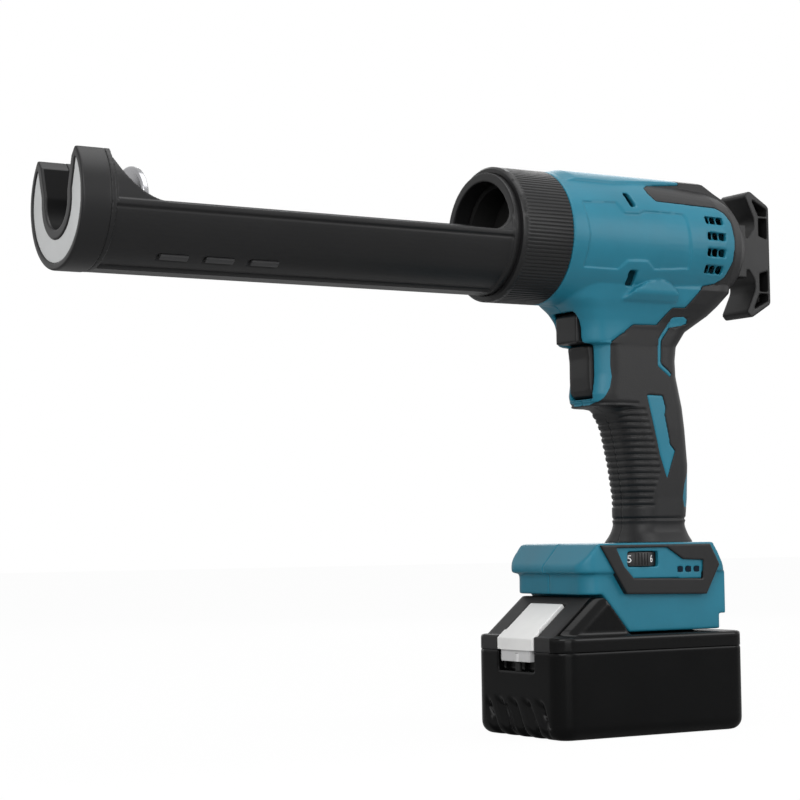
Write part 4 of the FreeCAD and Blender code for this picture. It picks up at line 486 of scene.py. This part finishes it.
# Soft overmould: thermoplastic rubber moulded over each half on the spine, the rear and the
# grip, matt black, with ribs under the fingers and a round where the finger rests. Teal shows
# through it beside the trigger, at the end of the stripe and at the rear of the grip.
REST_MIDDLE = (288.6, -94.0)
REST_ROUND = 10.0
REST_LIMIT = REST_ROUND * 1.5
REST_RISE = 0.42
REST_HALF = 15.0
FOOT_TOP = -141.5
FOOT_DEPTH = 11.0
FOOT_MIDDLE = 323.0
FOOT_WAIST = 0.05
PAST_MIDDLE = 1.0
PAST_SIDE = 60.0
STRIPE_DEPTH = 8.5
TEAL_STRIP = (
    (262.0, -50.0),
    (288.6, -50.6),
    (289.0, -54.5),
    (288.8, -64.0),
    (289.4, -69.5),
    (288.2, -75.0),
    (285.6, -80.0),
    (281.6, -84.2),
    (262.0, -87.0),
)
TEAL_BAND = (
    (282.5, -52.0),
    (288.6, -50.8),
    (289.0, -54.5),
    (288.8, -64.0),
    (289.4, -69.5),
    (288.2, -75.0),
    (285.6, -80.0),
    (283.0, -82.4),
    (281.0, -80.5),
    (282.8, -75.0),
    (283.4, -69.0),
    (282.4, -60.0),
)
TEAL_END = (
    (326.0, -39.3),
    (327.9, -38.3),
    (333.9, -37.8),
    (336.2, -39.1),
    (335.6, -41.0),
    (333.0, -42.3),
    (328.9, -43.0),
    (325.4, -43.6),
)
TEAL_REAR = (
    (350.0, -115.4),
    (338.6, -117.0),
    (335.0, -123.0),
    (333.8, -130.0),
    (335.2, -134.6),
    (350.0, -136.2),
)
REST_CUT = (
    (255.0, -79.4),
    (275.6, -80.7),
    (282.2, -83.4),
    (286.8, -85.0),
    (288.6, -87.4),
    (289.6, -90.0),
    (270.0, -100.0),
    (255.0, -100.0),
)
soft_black = moulded(
    "soft_rubber", (0.0118, 0.0118, 0.0123), roughness=0.45, grain=0.12, size=1800.0, specular=0.22
)


def side_block(near, far, *outlines):
    """Blocks with flat outlines, along the barrel and up, from one distance off the middle to another."""
    surface = bmesh.new()
    for outline in outlines:
        face = surface.faces.new([surface.verts.new(at(x, near, z)) for x, z in outline])
        grown = bmesh.ops.extrude_face_region(surface, geom=[face])["geom"]
        pushed = [item for item in grown if isinstance(item, bmesh.types.BMVert)]
        bmesh.ops.translate(surface, verts=pushed, vec=(0.0, (far - near) * MM, 0.0))
    bmesh.ops.recalc_face_normals(surface, faces=surface.faces)
    mesh = bpy.data.meshes.new("block")
    surface.to_mesh(mesh)
    surface.free()
    block = bpy.data.objects.new("block", mesh)
    bpy.context.scene.collection.objects.link(block)
    return block


def fill_finger_rest(surface):
    """Brings the corner under the neck out to the round that the finger lies in."""
    for vert in surface.verts:
        place = in_mm(vert.co)
        arm = Vector((place.x - REST_MIDDLE[0], place.z - REST_MIDDLE[1]))
        if arm.length < REST_ROUND or arm.length > REST_LIMIT:
            continue
        if arm.x < 0.0 or arm.y < REST_RISE * arm.length:
            continue
        fill = max(0.0, 1.0 - (place.y / REST_HALF) ** 2)
        arm *= 1.0 + fill * (REST_ROUND / arm.length - 1.0)
        vert.co = at(REST_MIDDLE[0] + arm.x, place.y, REST_MIDDLE[1] + arm.y)


def hollow_foot(surface):
    """Draws the flared foot in a little at half its height."""
    for vert in surface.verts:
        place = in_mm(vert.co)
        down = (FOOT_TOP - place.z) / FOOT_DEPTH
        if 0.0 < down < 1.0:
            narrow = 1.0 - FOOT_WAIST * math.sin(math.pi * down)
            vert.co = at(FOOT_MIDDLE + (place.x - FOOT_MIDDLE) * narrow, place.y * narrow, place.z)


for side, away in SIDES:
    node = side + "_overmould"
    neck_box = side_box(away, length=(296.0, 316.0), height=(-68.0, -46.0), times=60)
    foot_box = side_box(away, length=(292.0, 352.0), height=(-153.0, FOOT_TOP), times=12)
    rest_box = side_box(away, length=(272.0, 300.0), height=(-92.0, -79.0), times=10)
    inner = -away * PAST_MIDDLE
    outer = away * PAST_SIDE
    teal_blocks = side_block(inner, outer, TEAL_STRIP, TEAL_END, TEAL_REAR)
    teal_flush = side_block(inner, outer, TEAL_STRIP, TEAL_REAR)
    end_block = side_block(away * STRIPE_DEPTH, outer, TEAL_END, TEAL_BAND)
    rest_block = side_block(inner, outer, REST_CUT)
    less_teal = ("DIFFERENCE", teal_blocks)
    less_rest = ("DIFFERENCE", rest_block)
    only_flush = ("INTERSECT", teal_flush)
    only_end = ("INTERSECT", end_block)
    easing = (neck_box, foot_box, rest_box)
    rubber = remoulded(node, voxel=0.45, passes=2, boxes=easing, splits=(less_teal, less_rest))
    fill_finger_rest(rubber)
    hollow_foot(rubber)
    make_piece(rubber, side + "_rubber", "body", soft_black, "soft_black", node, share=0.5)
    trim = remoulded(node, voxel=0.45, passes=2, splits=(only_flush, less_rest))
    make_piece(trim, side + "_trim", "body", teal, "teal_plastic")
    tip = remoulded(node, side + "_housing", voxel=0.45, passes=4, splits=(only_end,))
    make_piece(tip, side + "_stripe_end", "body", teal, "teal_plastic")
    for block in (teal_blocks, teal_flush, end_block, rest_block):
        bpy.data.objects.remove(block)

# Base panels: black nylon plates that clip into the sides of the base. The left one goes round
# the dial and the lamps.
for side in ("left", "right"):
    node = side + "_base_panel"
    plate = remoulded(node, voxel=0.35, passes=4)
    make_piece(plate, side + "_panel", "body", charcoal, "charcoal_plastic", node, share=0.6)

# Battery: five cells in a lower tray and an upper case with the slide rails, black polycarbonate
# blend, glossier than the rest of the tool. The tray's front has slanted scallops for the
# fingers, and the case is dull on its front slope and on its decks.
SCALLOP_TOP = -226.5
SCALLOP_HALF = 27.0
SCALLOP_END = 252.0
SCALLOP_PITCH = 11.5
SCALLOP_DEPTH = 2.0
SCALLOP_SLANT = 0.5
SCALLOP_FADE_UP = 5.0
SCALLOP_FADE_SIDE = 4.0
BOTTOM_BOX = ((225.0, -42.0, -247.0), (365.0, 42.0, -237.0), 12)
NEAR_DECK_BOX = ((225.0, -42.0, -203.5), (365.0, -30.0, -194.0), 25)
FAR_DECK_BOX = ((225.0, 30.0, -203.5), (365.0, 42.0, -194.0), 25)
SLOPE_HALF = 28.5 * MM
SLOPE_END = -29.0 * MM
SLOPE_COLOUR = (0.022, 0.022, 0.0225, 1.0)
DULL_ROUGHNESS = 0.55
DECK_UPRIGHT = 0.93
BATTERY_COLOUR = (0.0022, 0.0023, 0.0024)
battery_black = moulded("battery_black", BATTERY_COLOUR, roughness=0.22, grain=0.015, specular=0.1)
tray = remoulded("battery_lower", voxel=0.6, passes=6, boxes=(BOTTOM_BOX,))
for vert in tray.verts:
    place = in_mm(vert.co)
    if place.z < SCALLOP_TOP and abs(place.y) < SCALLOP_HALF and place.x < SCALLOP_END:
        fade_up = min(1.0, (SCALLOP_TOP - place.z) / SCALLOP_FADE_UP)
        fade_side = min(1.0, (SCALLOP_HALF - abs(place.y)) / SCALLOP_FADE_SIDE)
        turns = (place.y - SCALLOP_SLANT * place.z) / SCALLOP_PITCH
        wave = 0.5 + 0.5 * math.sin(math.tau * turns)
        vert.co.x += SCALLOP_DEPTH * MM * (fade_up * fade_side) * wave * wave
make_piece(tray, "battery_tray", "battery", battery_black, "battery_black", "battery_lower", share=0.35)
case_black = moulded("case_black", BATTERY_COLOUR, roughness=0.17, grain=0.012, specular=0.16, spread=0.05)
case_nodes = case_black.node_tree.nodes
case_link = case_black.node_tree.links.new
case_shader = case_nodes["Principled BSDF"]
case_grain = next(node for node in case_nodes if node.type == "GROUP")
case_place = case_nodes.new("ShaderNodeTexCoord")
case_parts = case_nodes.new("ShaderNodeSeparateXYZ")
case_facing = case_nodes.new("ShaderNodeSeparateXYZ")
from_middle = math_node(case_nodes, "ABSOLUTE")
beside = math_node(case_nodes, "LESS_THAN", SLOPE_HALF)
before = math_node(case_nodes, "LESS_THAN", SLOPE_END)
on_slope = math_node(case_nodes, "MULTIPLY")
on_deck = math_node(case_nodes, "GREATER_THAN", DECK_UPRIGHT)
dull = math_node(case_nodes, "MAXIMUM")
slope_colour = case_nodes.new("ShaderNodeMix")
slope_colour.data_type = "RGBA"
slope_colour.inputs["B"].default_value = SLOPE_COLOUR
dull_roughness = case_nodes.new("ShaderNodeMix")
dull_roughness.inputs["B"].default_value = DULL_ROUGHNESS
case_link(case_place.outputs["Object"], case_parts.inputs[0])
case_link(case_parts.outputs["Y"], from_middle.inputs[0])
case_link(from_middle.outputs[0], beside.inputs[0])
case_link(case_parts.outputs["X"], before.inputs[0])
case_link(beside.outputs[0], on_slope.inputs[0])
case_link(before.outputs[0], on_slope.inputs[1])
case_link(on_slope.outputs[0], slope_colour.inputs["Factor"])
case_link(case_place.outputs["Normal"], case_facing.inputs[0])
case_link(case_facing.outputs["Z"], on_deck.inputs[0])
case_link(on_slope.outputs[0], dull.inputs[0])
case_link(on_deck.outputs[0], dull.inputs[1])
case_link(dull.outputs[0], dull_roughness.inputs["Factor"])
case_link(case_grain.outputs["Colour"], slope_colour.inputs["A"])
case_link(case_grain.outputs["Roughness"], dull_roughness.inputs["A"])
case_link(slope_colour.outputs["Result"], case_shader.inputs["Base Color"])
case_link(dull_roughness.outputs["Result"], case_shader.inputs["Roughness"])
top_case = remoulded("battery_upper", voxel=0.5, passes=6, boxes=(NEAR_DECK_BOX, FAR_DECK_BOX))
make_piece(top_case, "battery_case", "battery", case_black, "battery_black", "battery_upper", share=0.5)
cell_blue = moulded("cell_sleeve", (0.05, 0.18, 0.42), roughness=0.35)
dress("battery_cells", cell_blue)

# Latch button: the white push plate on the battery's front slope, sprung, that frees the
# battery from the base. Its grey lower tab stands back from the lip that the thumb presses.
TAB_TOP = at(0.0, 0.0, -204.2).z
TAB_SETBACK = 1.3 * MM
TAB_FACING = -0.3
white_plastic = moulded("white_plastic", (0.80, 0.80, 0.79), roughness=0.4, grain=0.03)
grey_plastic = moulded("grey_plastic", (0.58, 0.58, 0.58), roughness=0.45, grain=0.03)
latch_bm = remoulded("latch_button", voxel=0.3, passes=6)
for vert in latch_bm.verts:
    if vert.co.z < TAB_TOP and vert.normal.x < TAB_FACING:
        vert.co.x += TAB_SETBACK
for face in latch_bm.faces:
    face.material_index = int(face.calc_center_median().z < TAB_TOP)
latch = make_piece(latch_bm, "latch_plate", "latch", white_plastic, "white_latch", "latch_button")
latch.data.materials.append(grey_plastic)
dress("latch_spring", inside_black)

# Floor: a plain pale sheet under the tool, which shows white to the lens and keeps the tool's
# soft shadow.
FLOOR_HALF = 6.0
PAPER_GREY = (0.5, 0.5, 0.5, 1.0)
PAPER_ROUGHNESS = 0.9
PAPER_GLOW = 1.03
GLOW_SHARE = 0.94
floor_bm = bmesh.new()
bmesh.ops.create_grid(floor_bm, x_segments=1, y_segments=1, size=FLOOR_HALF)
floor_mesh = bpy.data.meshes.new("floor")
floor_bm.to_mesh(floor_mesh)
floor_bm.free()
floor = bpy.data.objects.new("floor", floor_mesh)
bpy.context.scene.collection.objects.link(floor)
paper = bpy.data.materials.new("white_paper")
paper.use_nodes = True
paper_nodes = paper.node_tree.nodes
paper_link = paper.node_tree.links.new
paper_shader = paper_nodes["Principled BSDF"]
paper_shader.inputs["Base Color"].default_value = PAPER_GREY
paper_shader.inputs["Roughness"].default_value = PAPER_ROUGHNESS
paper_shader.inputs["Specular IOR Level"].default_value = 0.0
paper_glow = paper_nodes.new("ShaderNodeEmission")
paper_glow.inputs["Strength"].default_value = PAPER_GLOW
paper_path = paper_nodes.new("ShaderNodeLightPath")
paper_share = math_node(paper_nodes, "MULTIPLY", GLOW_SHARE)
paper_mix = paper_nodes.new("ShaderNodeMixShader")
paper_link(paper_path.outputs["Is Camera Ray"], paper_share.inputs[0])
paper_link(paper_share.outputs[0], paper_mix.inputs["Fac"])
paper_link(paper_shader.outputs[0], paper_mix.inputs[1])
paper_link(paper_glow.outputs[0], paper_mix.inputs[2])
paper_link(paper_mix.outputs[0], paper_nodes["Material Output"].inputs["Surface"])
floor_mesh.materials.append(paper)

# Studio: a white room that shows white to the lens and to bright metal, and soft lamps above,
# at the left, at the right, in front and behind.
ROOM_LIGHT = 0.31
ROOM_SEEN = 1.0
MIDDLE = (0.0, 0.0, 0.16)
world = bpy.data.worlds.new("studio")
bpy.context.scene.world = world
world.use_nodes = True
room = world.node_tree.nodes
room_link = world.node_tree.links.new
seen = room.new("ShaderNodeLightPath")
camera_or_glossy = math_node(room, "MAXIMUM")
any_seen = math_node(room, "MAXIMUM")
strength = room.new("ShaderNodeMapRange")
strength.inputs["To Min"].default_value = ROOM_LIGHT
strength.inputs["To Max"].default_value = ROOM_SEEN
room_link(seen.outputs["Is Camera Ray"], camera_or_glossy.inputs[0])
room_link(seen.outputs["Is Glossy Ray"], camera_or_glossy.inputs[1])
room_link(camera_or_glossy.outputs[0], any_seen.inputs[0])
room_link(seen.outputs["Is Transmission Ray"], any_seen.inputs[1])
room_link(any_seen.outputs[0], strength.inputs["Value"])
room_link(strength.outputs["Result"], room["Background"].inputs["Strength"])
room["Background"].inputs["Color"].default_value = (1.0, 1.0, 1.0, 1.0)


def soft_lamp(name, place, aim, size, power):
    """A square soft box at a place, turned towards a point."""
    data = bpy.data.lights.new(name, "AREA")
    data.size = size
    data.energy = power
    lamp = bpy.data.objects.new(name, data)
    lamp.location = place
    lamp.rotation_euler = (Vector(aim) - Vector(place)).to_track_quat("-Z", "Y").to_euler()
    bpy.context.scene.collection.objects.link(lamp)


soft_lamp("top_box", (0.05, -0.25, 1.25), MIDDLE, size=0.9, power=8.2)
soft_lamp("left_box", (-1.0, -0.8, 0.75), MIDDLE, size=0.7, power=9.0)
soft_lamp("right_box", (0.75, -0.95, 0.55), MIDDLE, size=0.6, power=4.5)
soft_lamp("front_box", (-0.45, -1.25, 0.2), MIDDLE, size=0.8, power=4.5)
soft_lamp("rear_box", (0.7, 1.1, 0.7), MIDDLE, size=0.7, power=4.0)

# Camera: stands low at the front left of the tool, where the photograph was taken from, with a
# lens that gives the same perspective.
YAW = math.radians(-31.532)
PITCH = math.radians(3.827)
ROLL = math.radians(-0.759)
SENSOR = 36.0
PICTURE_WIDTH = 800.0
FOCAL = 2086.543 * SENSOR / PICTURE_WIDTH
STAND = Vector((-0.641906, -0.847138, 0.097131))
ahead = Vector((-math.sin(YAW) * math.cos(PITCH), math.cos(YAW) * math.cos(PITCH), math.sin(PITCH)))
level = Vector((math.cos(YAW), math.sin(YAW), 0.0))
skyward = level.cross(ahead)
across = level * math.cos(ROLL) + skyward * math.sin(ROLL)
above = skyward * math.cos(ROLL) - level * math.sin(ROLL)
lens = bpy.data.cameras.new("camera")
lens.sensor_width = SENSOR
lens.lens = FOCAL
camera = bpy.data.objects.new("camera", lens)
turn = Matrix((across, above, -ahead)).transposed().to_4x4()
camera.matrix_world = Matrix.Translation(STAND) @ turn
bpy.context.scene.collection.objects.link(camera)
bpy.context.scene.camera = camera
bpy.context.scene.view_settings.view_transform = "Standard"
